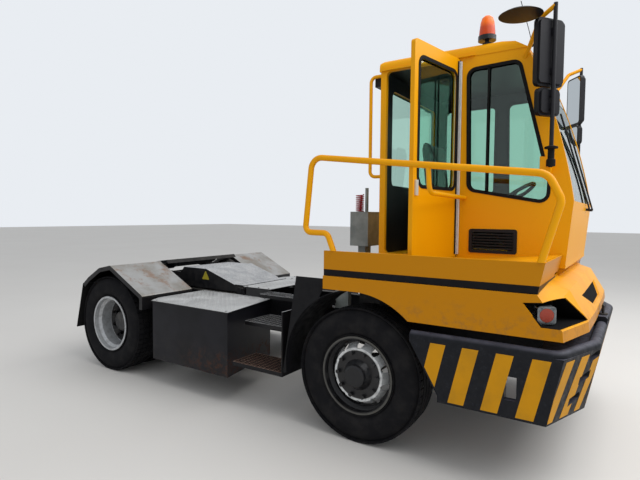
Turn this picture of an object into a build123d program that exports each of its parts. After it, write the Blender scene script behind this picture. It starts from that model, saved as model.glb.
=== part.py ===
from build123d import *
import math
import os

# Terminal tractor. Millimetres, +X forward, +Y to its left, +Z up.
# Places are written from the rear axle's point on the ground, on the centre line.
# Every node is shifted by ORIGIN_X when it is written, so that the origin is on the
# ground in the middle of the vehicle.

# Main dimensions
WHEELBASE = 3090
REAR_END = -700
BUMPER_FRONT = 4666
BUMPER_HALF = 1250
BODY_HALF = 1220
ORIGIN_X = (REAR_END + BUMPER_FRONT) / 2

# Wheels
TYRE_R = 520
TYRE_W = 290
BEAD_R = 286
AXLE_Z = TYRE_R
FRONT_TYRE_Y = 1035
REAR_OUTER_Y = 1080
REAR_INNER_Y = 737
NUT_RING_R = 167.5
NUTS = 10
HAND_HOLES = 10
HAND_HOLE_RING = 227
HAND_HOLE_R = 27

# Steering
KINGPIN_Y = 830
KINGPIN_R = 22
PIN_GAP = 0.5
EYE_R = 46
EYE_H = 96
ARM_LENGTH = 180
STEER_LIMIT = 38
TIE_ROD_Z = 405
TIE_ROD_R = 17

# Frame
FRAME_TOP = 850
RAIL_H = 260
RAIL_OUT = 425
RAIL_FLANGE = 80
RAIL_T = 10
RAIL_FRONT = 4400
REAR_PLATE_HALF = 430
TAIL_LAMP_Y = 560
TAIL_LAMP_T = 45

# Bodywork
BAND_TOP = 1460
LEDGE_Z = 1266
PANEL_LOW = 1000
DECK_REAR = 2815
BAND_FRONT_TOP = 4385
BAND_FRONT_LOW = 4344
PANEL_T = 12
BAND_T = 30
BAND_SET_IN = 12
NOSE_SPLIT = 4180
ARCH_R = 645
ARCH_TOP = 1165
WALKWAY_Z = 1300
WALKWAY_T = 6
VENT_SHARE = 0.35
VENT_Z = 1318
VENT_HIGH = 26

# Cab
CAB_RIGHT = -450
CAB_LEFT = BODY_HALF - 270
CAB_REAR = 2905
CAB_WALL = 36
CAB_FLOOR = 1400
CAB_FLOOR_T = 40
CAB_EAVES = 2990
ROOF_REAR_Z = 3090
ROOF_FRONT_Z = 3058
ROOF_FRONT_X = 3976
ROOF_EDGE_R = 70
LINING_T = 4
SCREEN_FOOT = (4445, 1850)
SCREEN_MID = (4310, 2440)
SCREEN_TOP = (4117, 2965)
CAB_FOOT_X = 4405

# Door
DOOR_HINGE_X = 3620
DOOR_HINGE_OUT = 12
DOOR_WIDTH = 655
DOOR_LOW = 1408
DOOR_TOP = 2978
DOOR_T = 34
DOOR_GAP = 6
DOOR_OPEN = 80

# Lift boom and fifth wheel
BOOM_PIVOT = (1200, 895)
BOOM_OUT = 376
BOOM_PLATE = 16
COUPLING = (-120, 1080)
COUPLING_TILT = 8
COUPLING_HALF = 575
CYLINDER_Y = 170
CYLINDER_FOOT = (760, 660)
CYLINDER_EYE = (250, 930)
KINGPIN_BORE_R = 25.4


def box(x0, x1, y0, y1, z0, z1):
    """A block between three pairs of limits."""
    size = (x1 - x0, y1 - y0, z1 - z0)
    middle = ((x0 + x1) / 2, (y0 + y1) / 2, (z0 + z1) / 2)
    return Pos(*middle) * Box(*size)


def rod(start, end, radius):
    """A round bar between two points."""
    run = Vector(*end) - Vector(*start)
    plane = Plane(origin=start, z_dir=run)
    return extrude(plane * Circle(radius), amount=run.length)


def outline(points, radius=0):
    """A closed outline through 3-D points, its corners rounded."""
    if radius:
        return make_face(FilletPolyline(*points, radius=radius, close=True))
    return make_face(Polyline(*points, close=True))


def side_prism(profile, y0, y1, radius=0):
    """A profile of (x, z) points, carried across from y0 to y1."""
    face = outline([(x, y0, z) for x, z in profile], radius)
    return extrude(face, amount=y1 - y0, dir=(0, 1, 0))


def plan_prism(profile, z0, z1, radius=0):
    """A profile of (x, y) points, raised from z0 to z1."""
    face = outline([(x, y, z0) for x, y in profile], radius)
    return extrude(face, amount=z1 - z0, dir=(0, 0, 1))


def front_prism(profile, x0, x1, radius=0):
    """A profile of (y, z) points, carried forward from x0 to x1."""
    face = outline([(x0, y, z) for y, z in profile], radius)
    return extrude(face, amount=x1 - x0, dir=(1, 0, 0))


def pipe(points, radius, bends):
    """A round tube along straight runs joined by arcs."""
    path = FilletPolyline(*points, radius=bends)
    start = Plane(origin=points[0], z_dir=Vector(*points[1]) - Vector(*points[0]))
    return sweep(start * Circle(radius), path=path)


def across(shape):
    """The same shape on the other side of the centre line."""
    return mirror(shape, about=Plane.XZ)


def wheel_face(points):
    """A closed (y, radius) section above the wheel's axis."""
    return make_face(Polyline(*[(0, y, r) for y, r in points], close=True))


def write(name, *shapes):
    """Write one node, moved to the vehicle's own origin."""
    solids = []
    for shape in shapes:
        solids.extend(shape.solids())
    moved = [Pos(-ORIGIN_X, 0, 0) * solid for solid in solids]
    export_step(Compound(moved) if len(moved) > 1 else moved[0], f"parts/{name}.step")


# Wheels

def tyre(x, y):
    """A truck tyre: beads, bulged walls, shoulders and a tread with three grooves."""
    half = TYRE_W / 2
    bead = half - 22
    shoulder = half - 18
    walls = []
    with BuildLine(Plane.YZ) as line:
        Line((-bead, BEAD_R), (bead, BEAD_R))
        ThreePointArc((bead, BEAD_R), (half, 400), (shoulder, TYRE_R - 16))
        Line((shoulder, TYRE_R - 16), (shoulder - 14, TYRE_R))
        Line((shoulder - 14, TYRE_R), (14 - shoulder, TYRE_R))
        Line((14 - shoulder, TYRE_R), (-shoulder, TYRE_R - 16))
        ThreePointArc((-shoulder, TYRE_R - 16), (-half, 400), (-bead, BEAD_R))
    body = revolve(make_face(line.line), Axis.Y)
    for groove_y in (-52, 0, 52):
        section = [(groove_y - 6, TYRE_R - 12), (groove_y + 6, TYRE_R - 12),
                   (groove_y + 6, TYRE_R + 1), (groove_y - 6, TYRE_R + 1)]
        walls.append(revolve(wheel_face(section), Axis.Y))
    for groove in walls:
        body = body - groove
    return Pos(x, y, AXLE_Z) * body


# Rim shell, from its inner flange to its outer one: width from the middle, radius
RIM_OUTSIDE = [(-129, 298), (-129, 286), (-85, 286), (-62, 262), (62, 262), (85, 286),
               (129, 286), (129, 298)]
RIM_INSIDE = [(135, 298), (135, 278), (90, 276), (66, 250), (-66, 250), (-90, 276),
              (-135, 278), (-135, 298)]


def rim_shell():
    """The rolled rim that the tyre's beads sit on."""
    return revolve(wheel_face(RIM_OUTSIDE + RIM_INSIDE), Axis.Y)


def wheel_disc(out, dish):
    """A disc from the rim's well to the hub, with hand holes; dish is how far in or
    out of the wheel's middle plane its nut face lies, and out is +1 or -1."""
    face = out * dish
    back = out * (dish - 12)
    edge = out * 30
    section = [(edge, 251), (edge + out * 14, 251), (edge + out * 14, 236),
               (face, 205), (face, 0), (back, 0), (back, 203), (edge, 234)]
    disc = revolve(wheel_face(section), Axis.Y)
    for index in range(HAND_HOLES):
        angle = math.radians(360 / HAND_HOLES * (index + 0.5))
        x, z = HAND_HOLE_RING * math.cos(angle), HAND_HOLE_RING * math.sin(angle)
        disc = disc - rod((x, -160, z), (x, 160, z), HAND_HOLE_R)
    return disc


def nuts(out, face):
    """The ring of wheel nuts, standing on the disc."""
    ring = []
    for index in range(NUTS):
        angle = math.radians(360 / NUTS * index)
        x, z = NUT_RING_R * math.cos(angle), NUT_RING_R * math.sin(angle)
        ring.append(rod((x, face - out, z), (x, face + out * 28, z), 16))
    return ring


def fused(first, *others):
    shape = first
    for other in others:
        shape = shape + other
    return shape


def front_wheel(out):
    """Rim, disc, nuts and hub of a front wheel, its axle's bore open inboard."""
    dish = 105
    disc = wheel_disc(out, dish)
    hub = revolve(wheel_face([(out * -20, 0), (out * -20, 100), (out * 60, 118),
                              (out * (dish + 1), 118), (out * (dish + 40), 92),
                              (out * (dish + 62), 84), (out * (dish + 70), 70),
                              (out * (dish + 70), 0)]), Axis.Y)
    shape = fused(rim_shell(), disc, hub, *nuts(out, out * dish))
    bore = rod((0, out * -30, 0), (0, out * 62, 0), SPINDLE_R + 1)
    return Pos(WHEELBASE, out * FRONT_TYRE_Y, AXLE_Z) * (shape - bore)


SPINDLE_R = 36


def rear_wheel(out):
    """The pair of rims of a twin wheel, back to back on one hub."""
    middle = out * (REAR_OUTER_Y + REAR_INNER_Y) / 2
    outer_at = out * (REAR_OUTER_Y - REAR_INNER_Y) / 2
    meet = REAR_INNER_Y + (REAR_OUTER_Y - REAR_INNER_Y) / 2
    outer = Pos(0, outer_at, 0) * rim_shell()
    inner = Pos(0, -outer_at, 0) * rim_shell()
    shapes = []
    for side in (1, -1):
        start = side * out
        section = [(0, 0), (0, 200), (start * 60, 225), (start * 110, 251),
                   (start * 124, 251), (start * 124, 238), (start * 74, 212),
                   (start * 14, 196), (start * 14, 0)]
        disc = revolve(wheel_face(section), Axis.Y)
        shapes.append(disc)
    hub = revolve(wheel_face([(out * 12, 0), (out * 12, 118), (out * 150, 112),
                              (out * 168, 98), (out * 168, 0)]), Axis.Y)
    shape = fused(outer, inner, *shapes, hub, *nuts(out, out * 14))
    for index in range(HAND_HOLES):
        angle = math.radians(360 / HAND_HOLES * (index + 0.5))
        x, z = 222 * math.cos(angle), 222 * math.sin(angle)
        shape = shape - rod((x, -118, z), (x, 118, z), 20)
    bore = rod((0, out * -400, 0), (0, out * 100, 0), AXLE_TUBE_R + 3)
    return Pos(0, middle, AXLE_Z) * (shape - bore)


AXLE_TUBE_R = 62
AXLE_END = 1000


# Axles and steering

def front_axle():
    """A forged beam, dropped between the springs, with an eye at each end."""
    eye_low = AXLE_Z - EYE_H / 2
    eye_high = AXLE_Z + EYE_H / 2
    drop = 420
    profile = [(-KINGPIN_Y, eye_low), (-KINGPIN_Y, eye_high), (-640, eye_high - 6),
               (-540, drop + 90), (540, drop + 90), (640, eye_high - 6),
               (KINGPIN_Y, eye_high), (KINGPIN_Y, eye_low), (640, eye_low),
               (540, drop), (-540, drop), (-640, eye_low)]
    beam = front_prism(profile, WHEELBASE - 38, WHEELBASE + 38)
    for side in (-1, 1):
        centre = (WHEELBASE, side * KINGPIN_Y)
        beam = beam + rod((*centre, eye_low), (*centre, eye_high), EYE_R)
    for side in (-1, 1):
        centre = (WHEELBASE, side * KINGPIN_Y)
        beam = beam - rod((*centre, eye_low - 1), (*centre, eye_high + 1), KINGPIN_R + PIN_GAP)
    return beam


def knuckle(side):
    """A steering knuckle: kingpin, two ears, spindle and the arm to the tie rod."""
    x, y = WHEELBASE, side * KINGPIN_Y
    low = AXLE_Z - EYE_H / 2
    high = AXLE_Z + EYE_H / 2
    ear = 30
    clear = 6
    pin = rod((x, y, low - clear - ear), (x, y, high + clear + ear), KINGPIN_R)
    web_in = y + side * (EYE_R + clear)
    web_out = web_in + side * 24
    web = box(x - 50, x + 50, min(web_in, web_out), max(web_in, web_out),
              low - clear - ear, high + clear + ear)
    ears = []
    for z0 in (low - clear - ear, high + clear):
        plate = rod((x, y, z0), (x, y, z0 + ear), 50)
        arm = box(x - 50, x + 50, min(y, web_out), max(y, web_out), z0, z0 + ear)
        ears.append(plate + arm)
    spindle_end = side * (FRONT_TYRE_Y + 60)
    spindle = rod((x, web_out, AXLE_Z), (x, spindle_end, AXLE_Z), SPINDLE_R)
    arm_z = TIE_ROD_Z + 24
    arm_x = x - ARM_LENGTH
    arm = box(arm_x, x - 30, y - 22, y + 22, arm_z, low - clear)
    eye = rod((arm_x, y, arm_z), (arm_x, y, low - clear), 22)
    ball = rod((arm_x, y, TIE_ROD_Z - 24), (arm_x, y, arm_z + 1), 12)
    return fused(pin, web, *ears, spindle, arm, eye, ball)


def tie_rod():
    """The rod that joins the two knuckle arms, an eye at each end."""
    x = WHEELBASE - ARM_LENGTH
    bar = rod((x, -KINGPIN_Y + 20, TIE_ROD_Z), (x, KINGPIN_Y - 20, TIE_ROD_Z), TIE_ROD_R)
    for side in (-1, 1):
        bar = bar + rod((x, side * KINGPIN_Y, TIE_ROD_Z - 22),
                        (x, side * KINGPIN_Y, TIE_ROD_Z + 22), 28)
    for side in (-1, 1):
        bar = bar - rod((x, side * KINGPIN_Y, TIE_ROD_Z - 30),
                        (x, side * KINGPIN_Y, TIE_ROD_Z + 30), 12 + PIN_GAP)
    return bar


SPRING_Y = 380
SPRING_W = 76
FRAME_LOW = FRAME_TOP - RAIL_H


def leaf_spring(side):
    """A short stack of leaves, clamped on the axle beam and hung from the rail."""
    y0, y1 = side * SPRING_Y - SPRING_W / 2, side * SPRING_Y + SPRING_W / 2
    seat = 510
    leaves = side_prism([(WHEELBASE - 620, 570), (WHEELBASE - 60, seat), (WHEELBASE + 60, seat),
                         (WHEELBASE + 620, 570), (WHEELBASE + 620, 582), (WHEELBASE + 60, seat + 44),
                         (WHEELBASE - 60, seat + 44), (WHEELBASE - 620, 582)], y0, y1)
    shape = leaves
    for end in (-1, 1):
        shape = shape + box(WHEELBASE + end * 600 - 30, WHEELBASE + end * 600 + 30, y0, y1,
                            574, FRAME_LOW)
    return shape


def rear_axle():
    """The driven axle: tube, differential bowl and the blocks it is bolted up by."""
    end = AXLE_END
    tube = rod((0, -end, AXLE_Z), (0, end, AXLE_Z), AXLE_TUBE_R)
    middle = rod((0, -520, AXLE_Z), (0, 520, AXLE_Z), 68)
    bowl = Pos(0, 0, AXLE_Z) * Sphere(190)
    nose = rod((0, 0, AXLE_Z), (DIFF_NOSE, 0, AXLE_Z), 85)
    shape = fused(tube, middle, bowl, nose)
    for side in (-1, 1):
        shape = shape + box(-110, 110, side * 385 - 40, side * 385 + 40, AXLE_Z, FRAME_LOW)
    return shape


def prop_shaft():
    """The shaft from the gearbox down to the differential's nose."""
    shaft = rod((230, 0, AXLE_Z), (ENGINE_REAR + 40, 0, 700), 45)
    return shaft & box(DIFF_NOSE, ENGINE_REAR, -60, 60, 400, 800)


DIFF_NOSE = 270
ENGINE_REAR = 2650


# Chassis

def chassis_frame():
    """Two C rails and the members that tie them."""
    web = [(RAIL_OUT, FRAME_LOW), (RAIL_OUT, FRAME_TOP), (RAIL_OUT - RAIL_FLANGE, FRAME_TOP),
           (RAIL_OUT - RAIL_FLANGE, FRAME_TOP - RAIL_T), (RAIL_OUT - RAIL_T, FRAME_TOP - RAIL_T),
           (RAIL_OUT - RAIL_T, FRAME_LOW + RAIL_T), (RAIL_OUT - RAIL_FLANGE, FRAME_LOW + RAIL_T),
           (RAIL_OUT - RAIL_FLANGE, FRAME_LOW)]
    rail = front_prism(web, REAR_END + 12, RAIL_FRONT)
    frame = fused(rail, across(rail))
    inner = RAIL_OUT - RAIL_T
    # Cross members: x from, x to, z from, z to
    members = [(CYLINDER_FOOT[0] + 45, CYLINDER_FOOT[0] + 85, 620, 700), (1500, 1560, 680, 800),
               (2560, 2620, 600, 640), (4300, 4380, 640, 800), (-560, -500, 620, 800)]
    for x0, x1, z0, z1 in members:
        frame = frame + box(x0, x1, -inner, inner, z0, z1)
    frame = frame + box(REAR_END, REAR_END + 12, -REAR_PLATE_HALF, REAR_PLATE_HALF, 560, FRAME_TOP)
    for side in (-1, 1):
        # Ears that the boom's pivot pins sit in
        ear_in, ear_out = BOOM_OUT + 6, BOOM_OUT + 30
        px, pz = BOOM_PIVOT
        ear = side_prism([(px - 70, FRAME_TOP), (px + 70, FRAME_TOP), (px + 35, pz + 27), (px - 35, pz + 27)],
                         ear_in, ear_out)
        pin = rod((px, BOOM_OUT - BOOM_PLATE - 10, pz), (px, ear_out + 6, pz), 20)
        ear = ear + pin
        frame = frame + (ear if side > 0 else across(ear))
    for side in (-1, 1):
        # Lugs that the lift cylinders' feet turn on
        y = side * CYLINDER_Y
        x, z = CYLINDER_FOOT
        cheek = [(x - 25, z - 25), (x + 45, z - 40), (x + 45, z + 40), (x - 25, z + 25)]
        lug = side_prism(cheek, y - 62, y - 42) + side_prism(cheek, y + 42, y + 62)
        lug = lug + rod((x, y - 62, z), (x, y + 62, z), 18)
        frame = frame + lug
    for side in (-1, 1):
        # Brackets that carry the tail lamps beside the rear plate
        inner_y, outer_y = side * (RAIL_OUT - 2), side * (TAIL_LAMP_Y + 90)
        frame = frame + box(REAR_END + TAIL_LAMP_T, REAR_END + TAIL_LAMP_T + 10, min(inner_y, outer_y),
                            max(inner_y, outer_y), 700, 800)
    return frame


BUMPER_T = 50
BUMPER_LOW = 491
BUMPER_TOP = 905
BUMPER_LEAN = 84
BUMPER_CORNER = BUMPER_FRONT - 161
BUMPER_CHAMFER_Y = 790
BUMPER_REAR = WHEELBASE + 458
BUMPER_TUBE_R = 40


def bumper_plan(z, inset):
    """The bumper's outline seen from above at one height, as (x, y) points."""
    back = BUMPER_LEAN * (BUMPER_TOP - z) / (BUMPER_TOP - BUMPER_LOW)
    half = BUMPER_HALF - inset
    corner = BUMPER_CORNER - back - inset * 0.85
    front = BUMPER_FRONT - back - inset
    flat = BUMPER_CHAMFER_Y - inset * 0.15
    return [(BUMPER_REAR, -half), (corner, -half), (front, -flat), (front, flat),
            (corner, half), (BUMPER_REAR, half)]


def front_bumper():
    """The thick wrap-round bumper: leaning plate, rolled top edge and brackets."""
    def ring(z):
        outer = bumper_plan(z, 0)
        inner = bumper_plan(z, BUMPER_T)
        return outline([(x, y, z) for x, y in outer + inner[::-1]])
    skin = loft([ring(BUMPER_LOW), ring(BUMPER_TOP)], ruled=True)
    inset = BUMPER_TUBE_R
    path = [(x, y, BUMPER_TOP) for x, y in bumper_plan(BUMPER_TOP, inset)]
    roll = pipe(path, BUMPER_TUBE_R, 60)
    shape = skin + roll
    rear_edge = BUMPER_REAR + 206
    shape = shape - side_prism([(BUMPER_REAR - 50, 880), (BUMPER_REAR, 880), (rear_edge, 533), (rear_edge, 400),
                                (BUMPER_REAR - 50, 400)], -BUMPER_HALF - 10, BUMPER_HALF + 10)
    for side in (-1, 1):
        for y, z in ((856, 868), (920, 741), (984, 615)):
            slot = front_prism([(side * (y - 62), z - 22), (side * (y + 62), z - 50),
                                (side * (y + 62), z + 2), (side * (y - 62), z + 30)],
                               BUMPER_FRONT - 316, BUMPER_FRONT + 34, 24)
            shape = shape - slot
        wall_y = side * (BUMPER_HALF - BUMPER_T / 2)
        shape = shape - box(BUMPER_CORNER - 325, BUMPER_CORNER - 255, wall_y - 60, wall_y + 60, 604, 752)
        bracket = box(RAIL_FRONT, BUMPER_FRONT - 66, side * 385 - 40, side * 385 + 40, 640, 840)
        shape = shape + bracket
    shelf = [(x, y) for x, y in bumper_plan(BUMPER_TOP, BUMPER_TUBE_R) if x > BUMPER_REAR]
    shelf_rear = RAIL_FRONT - 60
    shelf = [(shelf_rear, shelf[0][1])] + shelf + [(shelf_rear, shelf[-1][1])]
    shape = shape + plan_prism(shelf, BUMPER_TOP - 12, BUMPER_TOP)
    # Tow jaw in the middle of the bumper: a hump with a mouth and a hole for its pin
    jaw = side_prism([(TOW_X - 115, BUMPER_TOP - 6), (TOW_X + 36, BUMPER_TOP - 6), (TOW_X + 36, JAW_TOP - 14),
                      (TOW_X + 22, JAW_TOP), (TOW_X - 60, JAW_TOP), (TOW_X - 115, BUMPER_TOP + 20)],
                     -JAW_HALF, JAW_HALF)
    mouth = box(TOW_X - 40, TOW_X + 60, 26 - JAW_HALF, JAW_HALF - 26, BUMPER_TOP + 12, JAW_TOP - 20)
    shape = shape + jaw - mouth
    return shape - rod((TOW_X, 0, BUMPER_TOP - 40), (TOW_X, 0, JAW_TOP + 1), TOW_PIN_R + 1)


def tow_pin():
    """The pin that stands in the jaw, with its head and lifting bar."""
    shank = rod((TOW_X, 0, BUMPER_TOP - 20), (TOW_X, 0, JAW_TOP), TOW_PIN_R)
    head = rod((TOW_X, 0, JAW_TOP), (TOW_X, 0, JAW_TOP + 10), TOW_PIN_R + 13)
    stem = rod((TOW_X, 0, JAW_TOP + 9), (TOW_X, 0, JAW_TOP + 72), 9)
    grip = rod((TOW_X, -55, JAW_TOP + 72), (TOW_X, 55, JAW_TOP + 72), 9)
    return fused(shank, head, stem, grip)


TOW_X = BUMPER_FRONT - 38
TOW_PIN_R = 20
JAW_TOP = 980
JAW_HALF = 105


# Nose sections: distance from the centre line, then x and z of the lip's foot, the
# lip's top, the ridge and the seam against the band
NOSE_KNEE = BODY_HALF - 400
NOSE_SECTIONS = [
    (-BODY_HALF, 4494, 1000, 4487, 1064, 4418, 1163, 4346, 1266),
    (-NOSE_KNEE, 4597, 1000, 4590, 1064, 4475, 1260, 4352, 1300),
    (-380, 4606, 1000, 4602, 1064, 4478, 1268, 4355, 1312),
    (380, 4606, 1000, 4602, 1064, 4478, 1268, 4355, 1312),
    (NOSE_KNEE, 4597, 1000, 4590, 1064, 4475, 1260, 4352, 1300),
    (BODY_HALF, 4494, 1000, 4487, 1064, 4418, 1163, 4346, 1266),
]
NOSE_BACK = 4325


def nose_loft(inset, back, low):
    """The nose's wedge: a ruled loft of its sections, each drawn in by inset."""
    sections = []
    for y, foot_x, foot_z, lip_x, lip_z, ridge_x, ridge_z, seam_x, seam_z in NOSE_SECTIONS:
        points = [(back, y, low), (foot_x - inset, y, low), (lip_x - inset, y, lip_z),
                  (ridge_x - inset * 0.8, y, ridge_z - inset * 0.7), (seam_x - inset * 0.5, y, seam_z - inset),
                  (back, y, seam_z - inset)]
        sections.append(outline(points))
    return loft(sections, ruled=True)


def lamp_pocket(side, margin):
    """The room behind a lamp opening, open to the side and the front."""
    far = side * (BODY_HALF + 20 + margin)
    near = side * (BODY_HALF - 260 + margin)
    wall = [(4264, 1212), (4372, 1073), (4520, 1073), (4520, 1225), (4366, 1222)]
    side_part = side_prism(shrunk(wall, margin), min(far, near), max(far, near))
    edge = BODY_HALF + 15
    face = [(side * edge, 1073), (side * (edge - 435), 1073), (side * (edge - 305), 1222), (side * edge, 1222)]
    front_part = front_prism(shrunk(face, margin), 4385 + margin, 4640 + margin)
    wall_in = side * (BODY_HALF - 14 - margin)
    behind = box(4300 + margin, 4392, min(wall_in, near), max(wall_in, near), 1073 + margin, 1200 - margin)
    return side_part + front_part + behind


def nose_opening(margin):
    """The wide opening in the middle of the nose, narrower at its foot."""
    return front_prism(shrunk([(-530, 1190), (-270, 1090), (270, 1090), (530, 1190)], margin), 4430, 4640)


def nose_liner():
    """Black inner walls of the lamp pockets and the mesh panel of the nose's opening."""
    skin = nose_loft(6, NOSE_BACK, PANEL_LOW)
    liners = []
    for side in (-1, 1):
        shell = (lamp_pocket(side, 0) & skin) - lamp_pocket(side, 5)
        liners.append(max(shell.solids(), key=lambda solid: solid.volume))
    panel = (nose_opening(0) & nose_loft(16, NOSE_BACK, PANEL_LOW)) - nose_loft(26, NOSE_BACK - 1, PANEL_LOW - 1)
    liners.append(max(panel.solids(), key=lambda solid: solid.volume))
    return liners


def nose_cowl():
    """The faceted nose with a lamp pocket cut through each corner."""
    shape = nose_loft(0, NOSE_BACK, PANEL_LOW)
    for side in (-1, 1):
        cheek = box(NOSE_SPLIT, NOSE_BACK, min(side * BODY_HALF, side * (BODY_HALF - PANEL_T)),
                    max(side * BODY_HALF, side * (BODY_HALF - PANEL_T)), PANEL_LOW, LEDGE_Z)
        shape = shape + cheek
    hollow = box(NOSE_BACK - 10, 4440, -700, 700, PANEL_LOW - 10, 1240)
    shape = shape - hollow
    for side in (-1, 1):
        shape = shape - lamp_pocket(side, 0)
    shape = shape - nose_opening(0)
    scuttle_top = CAB_FLOOR - CAB_FLOOR_T - 5
    scuttle = side_prism([(NOSE_BACK, 1290), (4351, 1290), (CAB_FOOT_X - 9, scuttle_top), (NOSE_BACK, scuttle_top)],
                         CAB_RIGHT + 2, CAB_LEFT - 2)
    slot = front_prism([(CAB_RIGHT + 12, VENT_Z), (20, VENT_Z), (20, VENT_Z + VENT_HIGH),
                        (CAB_RIGHT + 12, VENT_Z + VENT_HIGH)], 4340, CAB_FOOT_X + 20, 9)
    shape = shape + (scuttle - slot)
    for side in (-1, 1):
        band_end = BODY_HALF - BAND_SET_IN
        shape = shape - box(NOSE_BACK - 5, BAND_FRONT_TOP, min(side * band_end, side * (band_end - BAND_T)),
                            max(side * band_end, side * (band_end - BAND_T)), LEDGE_Z, BAND_TOP)
    return shape


def lamp_place(side):
    """A headlamp's own frame: its lens looks along +X, turned out to the corner."""
    return Pos(4378, side * (BODY_HALF - 100), 1136) * Rot(0, 0, side * LAMP_TURN)


LAMP_TURN = 62
LAMP_HALF = 55


def lamp_block(half, x0, x1, corner):
    """A square block with rounded corners, centred on the lamp's axis."""
    square = [(-half, -half), (half, -half), (half, half), (-half, half)]
    return front_prism(square, x0, x1, corner)


def headlamp(side):
    """A lamp's housing: a rounded square bezel with a round seat for the lens."""
    body = lamp_block(LAMP_HALF, -40, 30, 20) - rod((12, 0, 0), (40, 0, 0), LAMP_HALF - 12)
    stem = box(-40, -16, -20, 20, -58, -40)
    return lamp_place(side) * (body + stem)


def lamp_lens(side):
    """The round lens that sits in the bezel."""
    disc = rod((12, 0, 0), (30, 0, 0), LAMP_HALF - 13)
    dome = Pos(-52, 0, 0) * Sphere(96) & box(29, 60, -60, 60, -60, 60)
    return lamp_place(side) * (disc + (dome & rod((29, 0, 0), (60, 0, 0), LAMP_HALF - 13)))


def side_bodywork(side):
    """Upper band and lower panel of one side, with the wheel arch."""
    arch_end = math.sqrt(ARCH_R ** 2 - (PANEL_LOW - AXLE_Z) ** 2)
    y0 = BODY_HALF - PANEL_T
    lower = side_prism([(DECK_REAR, ARCH_TOP), (DECK_REAR, LEDGE_Z), (NOSE_SPLIT, LEDGE_Z),
                        (NOSE_SPLIT, PANEL_LOW), (WHEELBASE + arch_end - 60, PANEL_LOW),
                        (WHEELBASE, ARCH_TOP)], y0, BODY_HALF)
    fill = side_prism([(WHEELBASE - 1, ARCH_TOP - 1), (NOSE_SPLIT, ARCH_TOP - 1), (NOSE_SPLIT, PANEL_LOW),
                       (WHEELBASE - 1, PANEL_LOW)], y0, BODY_HALF)
    lower = lower + fill - rod((WHEELBASE, y0 - 5, AXLE_Z), (WHEELBASE, BODY_HALF + 5, AXLE_Z), ARCH_R)
    band_y = BODY_HALF - BAND_SET_IN
    band = side_prism([(DECK_REAR, LEDGE_Z), (BAND_FRONT_LOW, LEDGE_Z), (BAND_FRONT_TOP, BAND_TOP),
                       (DECK_REAR, BAND_TOP)], band_y - BAND_T, band_y)
    lap = box(DECK_REAR, NOSE_SPLIT, band_y - BAND_T, band_y, LEDGE_Z - 26, LEDGE_Z)
    shape = lower + band + lap
    if side < 0:
        shape = across(shape)
    inside = BODY_HALF - BAND_SET_IN - BAND_T
    front = band_front(CAB_LEFT, inside + 1) if side > 0 else band_front(-inside - 1, CAB_RIGHT)
    half = (inside - CAB_LEFT) * VENT_SHARE
    middle = (inside + CAB_LEFT) / 2 if side > 0 else CAB_RIGHT - half - 12
    vent = front_prism([(middle - half, VENT_Z), (middle + half, VENT_Z), (middle + half, VENT_Z + VENT_HIGH),
                        (middle - half, VENT_Z + VENT_HIGH)], BAND_FRONT_LOW - 40, BAND_FRONT_TOP + 60, 9)
    return shape + (front - vent)


def walkway_floor():
    """The sunk walkway on the right, its riser and the plate at its front."""
    y_out = -(BODY_HALF - BAND_SET_IN - BAND_T)
    t = WALKWAY_T
    floor = box(DECK_REAR, TOP_PLATE_REAR[0], y_out, CAB_RIGHT, WALKWAY_Z - t, WALKWAY_Z)
    riser = box(DECK_REAR, DECK_REAR + t, y_out, CAB_RIGHT, ARCH_TOP, WALKWAY_Z - t)
    rear_x, rear_z = TOP_PLATE_REAR
    front_x, front_z = TOP_PLATE_FRONT
    step = box(rear_x, rear_x + t, y_out, CAB_RIGHT, WALKWAY_Z - t, rear_z - t)
    top = side_prism([(rear_x, rear_z - t), (front_x, front_z - t), (front_x, front_z), (rear_x, rear_z)],
                     y_out, CAB_RIGHT)
    skirt = box(CAB_REAR, rear_x + t, CAB_RIGHT, CAB_RIGHT + t, WALKWAY_Z - t, CAB_FLOOR - CAB_FLOOR_T)
    return fused(floor, riser, step, top, skirt)


TOP_PLATE_REAR = (3640, 1393)
TOP_PLATE_FRONT = (4367, 1459)


def left_deck():
    """The level plate between the cab and the left band."""
    y_out = BODY_HALF - BAND_SET_IN - BAND_T
    top = box(DECK_REAR, BAND_FRONT_LOW + 10, CAB_LEFT, y_out, BAND_TOP - 46, BAND_TOP - 40)
    riser = box(DECK_REAR, DECK_REAR + WALKWAY_T, CAB_LEFT, y_out, ARCH_TOP, BAND_TOP - 46)
    return top + riser


def band_front(y0, y1):
    """The band's front face between two distances from the centre line."""
    profile = [(BAND_FRONT_LOW - 12, LEDGE_Z), (BAND_FRONT_LOW, LEDGE_Z), (BAND_FRONT_TOP, BAND_TOP),
               (BAND_FRONT_TOP - 12, BAND_TOP)]
    return side_prism(profile, y0, y1) - nose_loft(0, NOSE_BACK, PANEL_LOW)


# Cab

def cab_side(y0, y1):
    """A side wall's blank, its front edge along the windscreen."""
    foot, middle, top = [Vector(x, 0, z) for x, z in (SCREEN_FOOT, SCREEN_MID, SCREEN_TOP)]
    eaves_x = top.X - (CAB_EAVES - top.Z) * 0.4
    edges = [ThreePointArc(foot, middle, top), Line(top, (eaves_x, 0, CAB_EAVES)),
             Line((eaves_x, 0, CAB_EAVES), (CAB_REAR, 0, CAB_EAVES)),
             Line((CAB_REAR, 0, CAB_EAVES), (CAB_REAR, 0, CAB_FLOOR)),
             Line((CAB_REAR, 0, CAB_FLOOR), (CAB_FOOT_X, 0, CAB_FLOOR)),
             Line((CAB_FOOT_X, 0, CAB_FLOOR), foot)]
    face = make_face(edges)
    return Pos(0, y0, 0) * extrude(face, amount=y1 - y0, dir=(0, 1, 0))


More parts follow.
